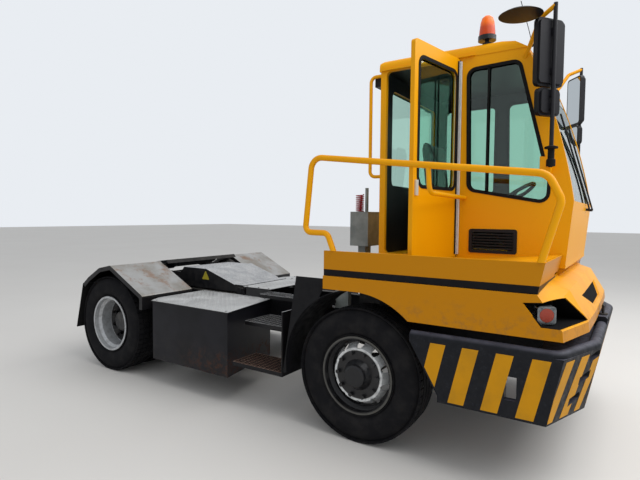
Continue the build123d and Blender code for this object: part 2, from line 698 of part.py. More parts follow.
SIDE_WINDOW = [(3690, 1945), (4274, 1838), (4280, 1990), (4052, 2900), (3670, 2888)]
REAR_QUARTER = [(3010, 1960), (3560, 1960), (3560, 2880), (3010, 2880)]
GASKET = 22
GLASS_T = 6


def shrunk(points, by):
    """A convex outline of (u, v) points, drawn in by a margin towards its middle."""
    mean_u = sum(p[0] for p in points) / len(points)
    mean_v = sum(p[1] for p in points) / len(points)
    result = []
    for u, v in points:
        reach = math.hypot(u - mean_u, v - mean_v)
        keep = (reach - by * 1.35) / reach
        result.append((mean_u + (u - mean_u) * keep, mean_v + (v - mean_v) * keep))
    return result


def cab_right_wall():
    """Right wall: door opening, side window and the grille's opening."""
    wall = cab_side(CAB_RIGHT, CAB_RIGHT + CAB_WALL)
    door_rear = DOOR_HINGE_X - DOOR_WIDTH - DOOR_GAP
    opening = side_prism([(door_rear, DOOR_LOW - DOOR_GAP), (DOOR_HINGE_X, DOOR_LOW - DOOR_GAP),
                          (DOOR_HINGE_X, DOOR_TOP + DOOR_GAP), (door_rear, DOOR_TOP + DOOR_GAP)],
                         CAB_RIGHT - 5, CAB_RIGHT + CAB_WALL + 5, 40)
    window = side_prism(SIDE_WINDOW, CAB_RIGHT - 5, CAB_RIGHT + CAB_WALL + 5, 60)
    grille = side_prism([(3705, 1445), (4070, 1445), (4070, 1635), (3705, 1635)],
                        CAB_RIGHT - 5, CAB_RIGHT + CAB_WALL + 5, 20)
    return wall - opening - window - grille


def cab_left_wall():
    """Left wall: a front and a rear window."""
    y0 = CAB_LEFT - CAB_WALL
    wall = cab_side(y0, CAB_LEFT)
    for points in (SIDE_WINDOW, REAR_QUARTER):
        wall = wall - side_prism(points, y0 - 5, CAB_LEFT + 5, 60)
    return wall


def cab_grille():
    """The louvred grille in the right wall: a frame with six slats."""
    y0, y1 = CAB_RIGHT - 8, CAB_RIGHT + 20
    frame = side_prism([(3706, 1446), (4069, 1446), (4069, 1634), (3706, 1634)], y0, y1, 19)
    frame = frame - side_prism([(3730, 1470), (4045, 1470), (4045, 1610), (3730, 1610)], y0 - 1, y1 + 1, 8)
    slats = []
    for index in range(6):
        z = 1478 + index * 22
        slats.append(side_prism([(3728, z), (4047, z), (4047, z + 10), (3728, z + 10)], y0 + 4, y1 - 4))
    return fused(frame, *slats)


def cab_rear_wall():
    inner_right = CAB_RIGHT + CAB_WALL
    inner_left = CAB_LEFT - CAB_WALL
    wall = box(CAB_REAR, CAB_REAR + CAB_WALL, inner_right, inner_left, CAB_FLOOR, CAB_EAVES)
    window = front_prism(REAR_WINDOW, CAB_REAR - 5, CAB_REAR + CAB_WALL + 5, 60)
    return wall - window


REAR_WINDOW = [(CAB_RIGHT + 160, 2000), (CAB_LEFT - 160, 2000), (CAB_LEFT - 160, 2860), (CAB_RIGHT + 160, 2860)]


def cab_front_panel():
    """The panel below the windscreen, and the header above it."""
    y0, y1 = CAB_RIGHT + CAB_WALL, CAB_LEFT - CAB_WALL
    foot_x, foot_z = SCREEN_FOOT
    slope = (foot_x - CAB_FOOT_X) / (foot_z - CAB_FLOOR)
    panel = side_prism([(CAB_FOOT_X - CAB_WALL, CAB_FLOOR), (CAB_FOOT_X, CAB_FLOOR),
                        (foot_x, foot_z), (foot_x - CAB_WALL, foot_z)], y0, y1)
    return panel


def cab_header():
    y0, y1 = CAB_RIGHT + CAB_WALL, CAB_LEFT - CAB_WALL
    top_x, top_z = SCREEN_TOP
    eaves_x = top_x - (CAB_EAVES - top_z) * 0.4
    return side_prism([(top_x - 24, top_z), (top_x, top_z), (eaves_x, CAB_EAVES), (eaves_x - 40, CAB_EAVES),
                       (top_x - 60, top_z)], y0, y1)


def cab_roof():
    """The roof: level at the back, sloping to the windscreen, its edges rounded."""
    top_x, top_z = SCREEN_TOP
    eaves_x = top_x - (CAB_EAVES - top_z) * 0.4
    block = side_prism([(CAB_REAR - 12, CAB_EAVES), (eaves_x + 4, CAB_EAVES), (ROOF_FRONT_X + 40, ROOF_FRONT_Z - 8),
                        (ROOF_FRONT_X - 60, ROOF_FRONT_Z + 10), (CAB_REAR + 30, ROOF_REAR_Z),
                        (CAB_REAR - 12, ROOF_REAR_Z - 30)], CAB_RIGHT - 8, CAB_LEFT + 8)
    right, left = CAB_RIGHT - 4, CAB_LEFT + 4
    dome = front_prism([(right, CAB_EAVES - 200), (right, ROOF_REAR_Z), (left, ROOF_REAR_Z),
                        (left, CAB_EAVES - 200)], CAB_REAR - 100, top_x + 200, ROOF_EDGE_R)
    hollow = side_prism([(CAB_REAR + CAB_WALL, CAB_EAVES - 1), (3960, CAB_EAVES - 1), (3900, ROOF_FRONT_Z - 30),
                         (CAB_REAR + CAB_WALL, ROOF_REAR_Z - 34)], CAB_RIGHT + 90, CAB_LEFT - 90)
    gutter = side_prism([(CAB_REAR + 20, CAB_EAVES), (3720, CAB_EAVES), (3720, CAB_EAVES + 10),
                         (CAB_REAR + 20, CAB_EAVES + 14)], CAB_RIGHT - 22, CAB_RIGHT + 2)
    return (block & dome) - hollow + gutter


def cab_floor():
    return box(CAB_REAR, CAB_FOOT_X, CAB_RIGHT, CAB_LEFT, CAB_FLOOR - CAB_FLOOR_T, CAB_FLOOR)


def body_bearers():
    """Two cross beams on uprights, which carry the bodywork and the cab's rubber feet."""
    half = BODY_HALF - BAND_SET_IN - BAND_T
    bearers = []
    for x in (2910, 4220):
        beam = box(x, x + 80, -half, half, BEARER_LOW, WALKWAY_Z - WALKWAY_T)
        for side in (-1, 1):
            beam = beam + box(x, x + 80, side * 385 - 40, side * 385 + 40, FRAME_TOP, BEARER_LOW)
            beam = beam + box(x, x + 80, side * 385 - 35, side * 385 + 35, WALKWAY_Z - WALKWAY_T,
                              CAB_FLOOR - CAB_FLOOR_T)
        bearers.append(beam)
    return bearers


BEARER_LOW = 1236


def engine():
    """Engine and gearbox as one plain block on four feet."""
    block = box(ENGINE_REAR, 3900, -330, 330, 610, 1200)
    for x in (2900, 3650):
        for side in (-1, 1):
            inner, web = side * 330, side * (RAIL_OUT - RAIL_T)
            block = block + box(x, x + 70, min(inner, web), max(inner, web), 700, 780)
    return block


def windscreen():
    """Curved glass between the side walls."""
    y0, y1 = CAB_RIGHT + CAB_WALL, CAB_LEFT - CAB_WALL
    foot, middle, top = [Vector(x - 4, 0, z) for x, z in (SCREEN_FOOT, SCREEN_MID, SCREEN_TOP)]
    back = Vector(-GLASS_T, 0, 0)
    edges = [ThreePointArc(foot, middle, top), Line(top, top + back),
             ThreePointArc(top + back, middle + back, foot + back), Line(foot + back, foot)]
    return Pos(0, y0, 0) * extrude(make_face(edges), amount=y1 - y0, dir=(0, 1, 0))


def pane(points, y_mid, radius):
    return side_prism(points, y_mid - GLASS_T / 2, y_mid + GLASS_T / 2, radius)


# Door, drawn closed and then swung open about its hinge

def swung(shape):
    hinge = Axis((DOOR_HINGE_X, CAB_RIGHT - DOOR_HINGE_OUT, 0), (0, 0, 1))
    return shape.rotate(hinge, DOOR_OPEN)


DOOR_WINDOW = [(595, 2010), (560, 1945), (50, 1945), (50, 2868), (595, 2868)]


def door_window(margin):
    """The door window's outline, drawn in by a margin; u runs back from the hinge."""
    return [(DOOR_HINGE_X - u, z) for u, z in shrunk(DOOR_WINDOW, margin)]


def door_panel():
    """The door's leaf with its window cut, its handle and its hinge knuckle."""
    y0, y1 = CAB_RIGHT, CAB_RIGHT + DOOR_T
    free = DOOR_HINGE_X - DOOR_WIDTH
    near = DOOR_HINGE_X - DOOR_GAP
    leaf = side_prism([(free, DOOR_LOW), (near, DOOR_LOW), (near, DOOR_TOP), (free, DOOR_TOP)], y0, y1, 30)
    leaf = leaf - side_prism(door_window(0), y0 - 5, y1 + 5, 60)
    return swung(leaf)


def door_fittings():
    """Piano hinge, handle and lock."""
    y0 = CAB_RIGHT
    axis_y = y0 - DOOR_HINGE_OUT
    knuckle_bar = rod((DOOR_HINGE_X, axis_y, DOOR_LOW + 20), (DOOR_HINGE_X, axis_y, DOOR_TOP - 20), 6)
    leaf = box(DOOR_HINGE_X - 36, DOOR_HINGE_X - 4, y0 - 4, y0, DOOR_LOW + 20, DOOR_TOP - 20)
    arm = box(DOOR_HINGE_X - 8, DOOR_HINGE_X, axis_y - 2, y0 - 2, DOOR_LOW + 20, DOOR_TOP - 20)
    free = DOOR_HINGE_X - DOOR_WIDTH
    handle = box(free + 22, free + 52, y0 - 14, y0, 1880, 1990)
    return [swung(knuckle_bar + leaf + arm), swung(handle)]


def door_glass():
    middle = CAB_RIGHT + DOOR_T / 2
    return swung(pane(door_window(0), middle, 60))


def side_glass():
    """Panes that fill the side walls' windows."""
    right = CAB_RIGHT + CAB_WALL / 2
    left = CAB_LEFT - CAB_WALL / 2
    return [pane(SIDE_WINDOW, right, 60), pane(SIDE_WINDOW, left, 60), pane(REAR_QUARTER, left, 60)]


def rear_glass():
    x = CAB_REAR + CAB_WALL / 2
    return front_prism(REAR_WINDOW, x - GLASS_T / 2, x + GLASS_T / 2, 60)


# Cab's inside

def seat():
    """The driver's seat's pedestal, pan and spine."""
    base = box(3220, 3500, 130, 410, CAB_FLOOR, 1690)
    pan = box(3130, 3600, 20, 520, 1690, 1700)
    spine = side_prism([(3130, 1700), (3150, 1700), (3076, 2420), (3056, 2420)], 190, 350)
    return fused(base, pan, spine)


def seat_cushions():
    cushion = side_prism([(3190, 1701), (3600, 1701), (3600, 1830), (3190, 1812)], 20, 520, 40)
    back = side_prism([(3145, 1830), (3230, 1830), (3165, 2460), (3079, 2450)], 30, 510, 30)
    return [cushion, back]


def dashboard():
    return side_prism([(4010, CAB_FLOOR), (4360, CAB_FLOOR), (4390, 1840), (4040, 1840), (3960, 1740)],
                      CAB_RIGHT + CAB_WALL + LINING_T, CAB_LEFT - CAB_WALL - LINING_T)


def cab_lining():
    """Trim panels on the walls' inner faces and the headliner, windows and door cut out."""
    rear = CAB_REAR + CAB_WALL
    t = LINING_T
    profile = [(rear + t, CAB_FLOOR), (4340, CAB_FLOOR), (4385, 1850), (4270, 2440), (4040, 2950), (4020, CAB_EAVES - t),
               (rear + t, CAB_EAVES - t)]
    panels = []
    for wall_y, openings in ((CAB_RIGHT + CAB_WALL, [SIDE_WINDOW]),
                             (CAB_LEFT - CAB_WALL - t, [SIDE_WINDOW, REAR_QUARTER])):
        panel = side_prism(profile, wall_y, wall_y + t)
        for points in openings:
            panel = panel - side_prism(points, wall_y - 1, wall_y + t + 1, 60)
        if wall_y < 0:
            panel = panel - box(rear, DOOR_HINGE_X + 10, wall_y - 1, wall_y + t + 1, CAB_FLOOR - 1, CAB_EAVES)
            panel = panel - box(3700, 4080, wall_y - 1, wall_y + t + 1, 1440, 1640)
        panels.append(panel)
    y0, y1 = CAB_RIGHT + CAB_WALL, CAB_LEFT - CAB_WALL
    back = box(rear, rear + t, y0, y1, CAB_FLOOR, CAB_EAVES - t)
    back = back - front_prism(REAR_WINDOW, rear - 1, rear + t + 1, 60)
    ceiling = box(rear, 4020, y0, y1, CAB_EAVES - t, CAB_EAVES)
    return fused(panels[0], panels[1], back, ceiling)


STEER_TILT = 35


def steering_wheel():
    """A thin ring on three spokes, on its column."""
    place = Pos(3880, 270, 1905) * Rot(0, -STEER_TILT, 0)
    ring = Torus(210, 16)
    hub = Pos(0, 0, -12) * Cylinder(38, 40)
    spokes = [Rot(0, 0, angle) * Pos(110, 0, 0) * Box(200, 26, 10) for angle in (60, 180, 300)]
    column = rod((0, 0, -260), (0, 0, -20), 26)
    return place * fused(hub, ring, *spokes, column) - dashboard()


# Deck and boxes

RIGHT_BOX = dict(rear=744, front_out=1790, front_in=1640, low=258, top=846)
BOX_OUT = 1210
BOX_IN = RAIL_OUT
LID_T = 8


def side_box(side):
    """A steel locker between the axles, its front face askew."""
    b = RIGHT_BOX
    plan = [(b["rear"], BOX_IN), (b["front_in"], BOX_IN), (b["front_out"], BOX_OUT), (b["rear"], BOX_OUT)]
    shape = plan_prism(plan, b["low"], b["top"])
    return shape if side > 0 else across(shape)


def deck_lid(side):
    b = RIGHT_BOX
    plan = [(b["rear"] - 90, BOX_IN), (b["front_in"] + 10, BOX_IN), (b["front_out"] + 12, BOX_OUT + 10),
            (b["rear"] - 10, BOX_OUT + 10), (b["rear"] - 90, 1060)]
    shape = plan_prism(plan, b["top"], b["top"] + LID_T)
    return shape if side > 0 else across(shape)


CENTRE_DECK_Z = 950


def centre_deck():
    """The tread plate over the frame ahead of the boom, on low side plates."""
    rear = BOOM_PIVOT[0] + 60
    plan = [(rear, -430), (1640, -430), (1640, 430), (rear, 430)]
    plate = plan_prism(plan, CENTRE_DECK_Z - 6, CENTRE_DECK_Z)
    for side in (-1, 1):
        skirt = box(1300, 1640, side * 418 - 6, side * 418 + 6, FRAME_TOP, CENTRE_DECK_Z - 6)
        plate = plate + skirt
    return plate


def grating(x0, x1, y0, y1, z, pitch):
    """A serrated step: a frame and rows of cross bars."""
    depth = 36
    t = 6
    shape = box(x0, x1, y0, y1, z - depth, z) - box(x0 + t, x1 - t, y0 + t, y1 - t, z - depth - 1, z + 1)
    count = int((x1 - x0) / pitch)
    for index in range(1, count):
        x = x0 + (x1 - x0) * index / count
        shape = shape + box(x - t / 2, x + t / 2, y0, y1, z - depth + 10, z)
    return shape


def steps():
    """Two steps and the catwalk on the right, behind the front wheel."""
    front = WHEELBASE - 690
    low = grating(1850, front, -1205, -880, 420, 50)
    upper = grating(1810, front, -1000, -640, 745, 50)
    walk = grating(1660, front + 50, -620, -RAIL_OUT - 5, 930, 50)
    carrier = box(front, front + 10, -1205, -RAIL_OUT, 384, 930)
    return [fused(low, upper, carrier), walk]


GUARD_T = 6


def wheel_guard(side):
    """The liner round a front wheel and the flat post behind it."""
    y0, y1 = 780, BODY_HALF - PANEL_T - 8
    ring = rod((WHEELBASE, y0, AXLE_Z), (WHEELBASE, y1, AXLE_Z), ARCH_R + GUARD_T)
    ring = ring - rod((WHEELBASE, y0 - 1, AXLE_Z), (WHEELBASE, y1 + 1, AXLE_Z), ARCH_R)
    rear, front = WHEELBASE - 710, WHEELBASE + 470
    keep = side_prism([(rear, 425), (WHEELBASE, 425), (WHEELBASE, 1005), (front, 1005), (front, 1250),
                       (rear, 1250)], y0, y1)
    liner = ring & keep
    post = side_prism([(rear + 32, 425), (rear + 72, 425), (rear + 420, 1155), (rear + 420, 1240),
                       (rear + 165, 1240)], y1 - GUARD_T, y1)
    post = post - rod((WHEELBASE, y1 - 20, AXLE_Z), (WHEELBASE, y1 + 1, AXLE_Z), ARCH_R)
    shape = liner + post
    return shape if side > 0 else across(shape)


FENDER_IN = 592


def shifted(points, by):
    """An open line of (x, z) points, moved square to itself by a distance."""
    result = []
    for index, (x, z) in enumerate(points):
        before = points[max(index - 1, 0)]
        after = points[min(index + 1, len(points) - 1)]
        into = math.atan2(z - before[1], x - before[0]) if index else None
        out = math.atan2(after[1] - z, after[0] - x) if index < len(points) - 1 else into
        into = out if into is None else into
        turn = (out - into) / 2
        reach = by / math.cos(turn)
        angle = into + turn + math.pi / 2
        result.append((x + reach * math.cos(angle), z + reach * math.sin(angle)))
    return result


def folded(points, thickness, y0, y1, bend):
    """Sheet steel folded along a line of (x, z) points, its bends rounded."""
    back = shifted(points, thickness)
    here, there = [[(x, y0, z) for x, z in line] for line in (points, back)]
    edges = [FilletPolyline(*here, radius=bend), Line(here[-1], there[-1]),
             FilletPolyline(*there, radius=bend), Line(there[0], here[0])]
    return extrude(make_face(edges), amount=y1 - y0, dir=(0, 1, 0))


# The fender's line from its front foot over the tyres to its rear edge
FENDER_LINE = [(626, 745), (628, 889), (78, 1168), (-125, 1128), (-339, 1008), (-440, 930)]
FENDER_T = 6
FENDER_BEND = 28
FENDER_FLANGE = 46


def rear_fender(side):
    """A folded steel fender over the twin tyres, flanged along both edges."""
    top = folded(FENDER_LINE, FENDER_T, FENDER_IN, BUMPER_HALF, FENDER_BEND)
    for y0, y1 in ((FENDER_IN, FENDER_IN + FENDER_T), (BUMPER_HALF - FENDER_T, BUMPER_HALF)):
        top = top + folded(FENDER_LINE, FENDER_FLANGE, y0, y1, FENDER_BEND)
    return top if side > 0 else across(top)


def mud_flap(side):
    flap = side_prism([(-446, 934), (-441, 928), (-585, 410), (-592, 412)], FENDER_IN + 20, BUMPER_HALF)
    return flap if side > 0 else across(flap)


# Boom, fifth wheel and cylinders

def lift_boom():
    """Two profiled plates tied by cross tubes, with the tread ramp on top."""
    px, pz = BOOM_PIVOT
    cx, cz = COUPLING
    profile = [(1235, 868), (1235, 925), (1100, 944), (640, 1094), (250, 1094), (190, 1030), (-60, 1030),
               (-90, 1100), (-150, 1100), (-170, 1040), (-170, 868)]
    plate = side_prism(profile, BOOM_OUT - BOOM_PLATE, BOOM_OUT)
    plate = plate + rod((cx, BOOM_OUT - BOOM_PLATE - 20, cz), (cx, BOOM_OUT, cz), 40)
    plate = plate - rod((px, BOOM_OUT - 40, pz), (px, BOOM_OUT + 5, pz), 20 + PIN_GAP)
    plate = plate - rod((cx, BOOM_OUT - 60, cz), (cx, BOOM_OUT + 5, cz), 22 + PIN_GAP)
    shape = fused(plate, across(plate))
    inner = BOOM_OUT - BOOM_PLATE
    ramp = side_prism([(1095, 945.6), (640, 1094), (640, 1100), (1097, 951)], -BOOM_OUT - 20, BOOM_OUT + 20)
    level = side_prism([(px + 30, 944), (1094, 944), (1094, CENTRE_DECK_Z), (px + 30, CENTRE_DECK_Z)],
                       -BOOM_OUT, BOOM_OUT)
    crest = box(252, 641, -BOOM_OUT, BOOM_OUT, 1088, 1094)
    neck = side_prism([(px + 28, 924), (1100, 943), (1094, CENTRE_DECK_Z - 1), (px + 28, CENTRE_DECK_Z - 1)],
                      inner, BOOM_OUT)
    shape = fused(shape, ramp, level, crest, neck, across(neck))
    # Bulkheads between the plates: x, z from, z to
    for x, z0, z1 in ((-164, 900, 1000), (176, 900, 1028), (460, 1000, 1090)):
        shape = shape + box(x - 6, x + 6, -inner - 1, inner + 1, z0, z1)
    # Cross tubes: x, z, radius
    for x, z, radius in ((1080, 900, 26), (560, 960, 40), (120, 940, 40)):
        shape = shape + rod((x, -inner - 1, z), (x, inner + 1, z), radius)
    ex, ez = CYLINDER_EYE
    for side in (-1, 1):
        for inside in (-1, 1):
            y = side * CYLINDER_Y + inside * 42
            lug = side_prism([(ex - 140, ez - 20), (ex + 32, ez - 34), (ex + 32, ez + 34), (ex - 140, ez + 30)],
                             y - 9, y + 9)
            bore = rod((ex, y - 10, ez), (ex, y + 10, ez), 18)
            shape = shape + (lug - bore)
    return shape


def coupling_place():
    """The coupling's own frame: its trunnion axis, tilted as it is parked."""
    return Pos(COUPLING[0], 0, COUPLING[1]) * Rot(0, -COUPLING_TILT, 0)


def fifth_wheel():
    """The coupling plate: throat, closed jaws round the kingpin bore, ribs and trunnion."""
    half = COUPLING_HALF
    plan = [(300, -half), (300, half), (180, half), (-120, 430), (-420, 330), (-450, 250), (-150, 60),
            (-150, -60), (-450, -250), (-420, -330), (-120, -430), (180, -half)]
    plate = plan_prism(plan, 48, 64)
    lip = side_prism([(300, 64), (292, 64), (318, 20), (326, 20)], -half, half)
    shape = plate + lip
    for side in (-1, 1):
        rib = side_prism([(-330, 49), (230, 49), (200, 12), (60, -40), (-60, -40), (-300, 20)],
                         side * 300 - 12, side * 300 + 12)
        shape = shape + rib
        trunnion = rod((0, side * 288, 0), (0, side * (BOOM_OUT + 2), 0), 22)
        boss = rod((0, side * 288, 0), (0, side * 335, 0), 34)
        shape = shape + trunnion + boss
    jaw = box(-140, 120, -120, 120, 14, 49)
    shape = shape + jaw
    for x in (-100, 150):
        shape = shape + box(x - 8, x + 8, -290, 290, -24, 49)
    shape = shape - rod((0, 0, 0), (0, 0, 80), KINGPIN_BORE_R)
    return coupling_place() * shape


def cylinder_line(length):
    """A point on a lift cylinder's axis, at a distance from its foot."""
    fx, fz = CYLINDER_FOOT
    ex, ez = CYLINDER_EYE
    run = math.hypot(ex - fx, ez - fz)
    return (fx + (ex - fx) * length / run, fz + (ez - fz) * length / run)


CYLINDER_RUN = math.hypot(CYLINDER_EYE[0] - CYLINDER_FOOT[0], CYLINDER_EYE[1] - CYLINDER_FOOT[1])


def lift_barrels():
    barrels = []
    for side in (-1, 1):
        y = side * CYLINDER_Y
        x0, z0 = cylinder_line(36)
        x1, z1 = cylinder_line(400)
        barrel = rod((x0, y, z0), (x1, y, z1), 42)
        x2, z2 = cylinder_line(80)
        x3, z3 = cylinder_line(401)
        barrel = barrel - rod((x2, y, z2), (x3, y, z3), 26)
        eye = rod((CYLINDER_FOOT[0], y - 36, CYLINDER_FOOT[1]), (CYLINDER_FOOT[0], y + 36, CYLINDER_FOOT[1]), 38)
        eye = eye - rod((CYLINDER_FOOT[0], y - 40, CYLINDER_FOOT[1]), (CYLINDER_FOOT[0], y + 40, CYLINDER_FOOT[1]),
                        18 + PIN_GAP)
        barrels.append(barrel + eye)
    return barrels


def lift_rods():
    rods = []
    for side in (-1, 1):
        y = side * CYLINDER_Y
        x0, z0 = cylinder_line(110)
        x1, z1 = cylinder_line(CYLINDER_RUN - 30)
        bar = rod((x0, y, z0), (x1, y, z1), 25)
        ex, ez = CYLINDER_EYE
        eye = rod((ex, y - 28, ez), (ex, y + 28, ez), 36) - rod((ex, y - 30, ez), (ex, y + 30, ez), 18 + 2)
        rods.append(bar + eye)
    return rods


# Rails, mirrors, lamps

RAIL_Y = -1195
TUBE_R = 23


def hand_rail():
    """The walkway's rail and the stay that ties it to the cab."""
    path = [(2905, RAIL_Y, BAND_TOP - 30), (2837, RAIL_Y, 1595), (2629, RAIL_Y, 1598), (2692, RAIL_Y, 2185),
            (4380, RAIL_Y, 1990), (4459, RAIL_Y, 1832), (4349, RAIL_Y, BAND_TOP - 30)]
    rail = pipe(path, TUBE_R, [60, 50, 90, 100, 90])
    stay = pipe([(3640, RAIL_Y, 2072), (3652, RAIL_Y, 1890), (3665, CAB_RIGHT + 20, 1880)], 17, [60])
    below = box(2500, 4600, RAIL_Y - 60, RAIL_Y + 60, BAND_TOP - 60, BAND_TOP)
    wall = box(3600, 3720, CAB_RIGHT, CAB_RIGHT + 60, 1800, 1960)
    return [rail + stay - below - wall]


def cab_grab_rail():
    """The upright rail at the cab's rear corner."""
    y = CAB_RIGHT + 16
    path = [(CAB_REAR, y, 2960), (2800, y, 2960), (2800, y, 2080), (CAB_REAR, y, 2080)]
    return pipe(path, 15, 50)


POLE_X = 4310


def mirror_set(side):
    """Arms, pole and mirror heads on one side of the cab."""
    wall = CAB_RIGHT if side < 0 else CAB_LEFT
    y = wall + side * 170
    inside = wall - side * 30
    pole = rod((POLE_X, y, 2080), (POLE_X, y, 3200), 14)
    low = rod((POLE_X, y, 2110), (4260, inside, 2110), 20)
    high = pipe([(POLE_X, y, 3184), (4205, wall + side * 115, 3136), (4070, inside, 2880)], 16, 50)
    block = box(4225, 4295, min(wall, wall + side * 60), max(wall, wall + side * 60), 2050, 2160)
    arms = fused(low, block, high)
    if side < 0:
        arms = arms + rod((4205, wall + side * 115, 3150), (KERB_X, wall + side * 300, 3164), 9)
    keep_out = box(3900, 4400, min(wall, wall - side * 60), max(wall, wall - side * 60), 2000, 3000)
    arms = arms - keep_out - rod((POLE_X, y, 2000), (POLE_X, y, 3300), 14)
    turn = Axis((POLE_X, y, 0), (0, 0, 1))
    clamps = []
    for z in (2480, 2570, 2720, 2990):
        clamp = box(4292, POLE_X, y - 15, y + 15, z, z + 40)
        clamps.append(clamp.rotate(turn, side * MIRROR_TURN))
    main = fused(pole, *clamps)
    for half, z0, z1 in ((118, 2640, 3105), (98, 2440, 2630)):
        face = [(y - half, z0), (y + half, z0), (y + half, z1), (y - half, z1)]
        back = front_prism(face, 4240, 4276, 34)
        crown = front_prism(shrunk(face, 16), 4275, 4292, 26)
        main = main + (back + crown).rotate(turn, side * MIRROR_TURN)
    if side > 0:
        return arms, main
    kerb_y = wall + side * 300
    dish = Pos(KERB_X, kerb_y, 3112 + 42 - KERB_BULGE) * Sphere(KERB_BULGE)
    return arms, main, dish & box(KERB_X - 200, KERB_X + 200, kerb_y - 200, kerb_y + 200, 3112, 3200)


MIRROR_TURN = 36
KERB_X = 4110
KERB_BULGE = 270


def beacon():
    x, y = 3790, CAB_RIGHT + 70
    roof_z = ROOF_REAR_Z + (ROOF_FRONT_Z + 10 - ROOF_REAR_Z) * (x - CAB_REAR - 30) / (ROOF_FRONT_X - 90 - CAB_REAR)
    foot = rod((x, y, roof_z + 0.5), (x, y, 3110), 16)
    collar = rod((x, y, roof_z + 1.5), (x, y, roof_z + 22), 34)
    base = rod((x, y, 3110), (x, y, 3146), 68)
    # Lens section: radius, height
    section = [(0, 3146), (62, 3146), (60, 3180), (52, 3250), (42, 3284), (24, 3300), (0, 3303)]
    face = make_face(Polyline(*[(x + r, y, z) for r, z in section], close=True))
    lens = revolve(face, Axis((x, y, 0), (0, 0, 1)))
    return [fused(foot, collar, base), lens]


def wipers():
    """Two wiper arms and blades that lie just ahead of the windscreen."""
    arms = []
    # Foot y, tip y, tip height on the screen
    for foot_y, tip_y, tip_z in ((520, -300, 2500), (CAB_LEFT - 130, 60, 2440)):
        foot = (screen_x(WIPER_FOOT_Z) + 30, foot_y, WIPER_FOOT_Z)
        tip = (screen_x(tip_z) + 30, tip_y, tip_z)
        arms.append(rod(foot, tip, 7) + rod((foot[0] - 28, foot_y, WIPER_FOOT_Z), foot, 12))
    return arms


WIPER_FOOT_Z = 1800


def screen_x(z):
    """How far forward the windscreen stands at a height."""
    foot, middle, top = SCREEN_FOOT, SCREEN_MID, SCREEN_TOP
    if z < foot[1]:
        slope = (foot[0] - CAB_FOOT_X) / (foot[1] - CAB_FLOOR)
        return CAB_FOOT_X + (z - CAB_FLOOR) * slope
    u = (z - foot[1]) / (top[1] - foot[1])
    v = (middle[1] - foot[1]) / (top[1] - foot[1])
    straight = foot[0] + (top[0] - foot[0]) * u
    bulge = middle[0] - (foot[0] + (top[0] - foot[0]) * v)
    return straight + bulge * u * (1 - u) / (v * (1 - v))


def work_lamps():
    """Two lamps under the roof's rear edge that light the coupling."""
    lamps = []
    for y in (CAB_RIGHT + 110, CAB_LEFT - 110):
        body = box(CAB_REAR - 82, CAB_REAR - 22, y - 60, y + 60, 2880, 2970)
        stem = box(CAB_REAR - 22, CAB_REAR, y - 12, y + 12, 2910, 2940)
        lamps.append(body + stem)
    return lamps


def tail_lamps():
    """A lamp cluster on each side of the frame's rear plate."""
    return [box(REAR_END, REAR_END + TAIL_LAMP_T, side * TAIL_LAMP_Y - 88, side * TAIL_LAMP_Y + 88, 702, 798)
            for side in (-1, 1)]


def air_unit():
    """The grey air cabinet behind the cab on its post, with the hose's socket."""
    cabinet = box(2420, 2620, -120, 120, 1430, 1770)
    post = box(2480, 2560, -60, 60, 1140, 1430)
    foot = box(2380, 2640, -RAIL_OUT, RAIL_OUT, 1120, 1140)
    for side in (-1, 1):
        foot = foot + box(2440, 2580, side * 395 - 30, side * 395 + 30, FRAME_TOP, 1120)
    mast = rod((2450, 170, 1140), (2450, 170, 2020), 18)
    return [fused(cabinet, post, foot, mast)]


def air_hose():
    """A coiled hose that hangs from its mast, drawn as its coil's outline."""
    return rod((2368, 170, 1560), (2368, 170, 1960), 48)


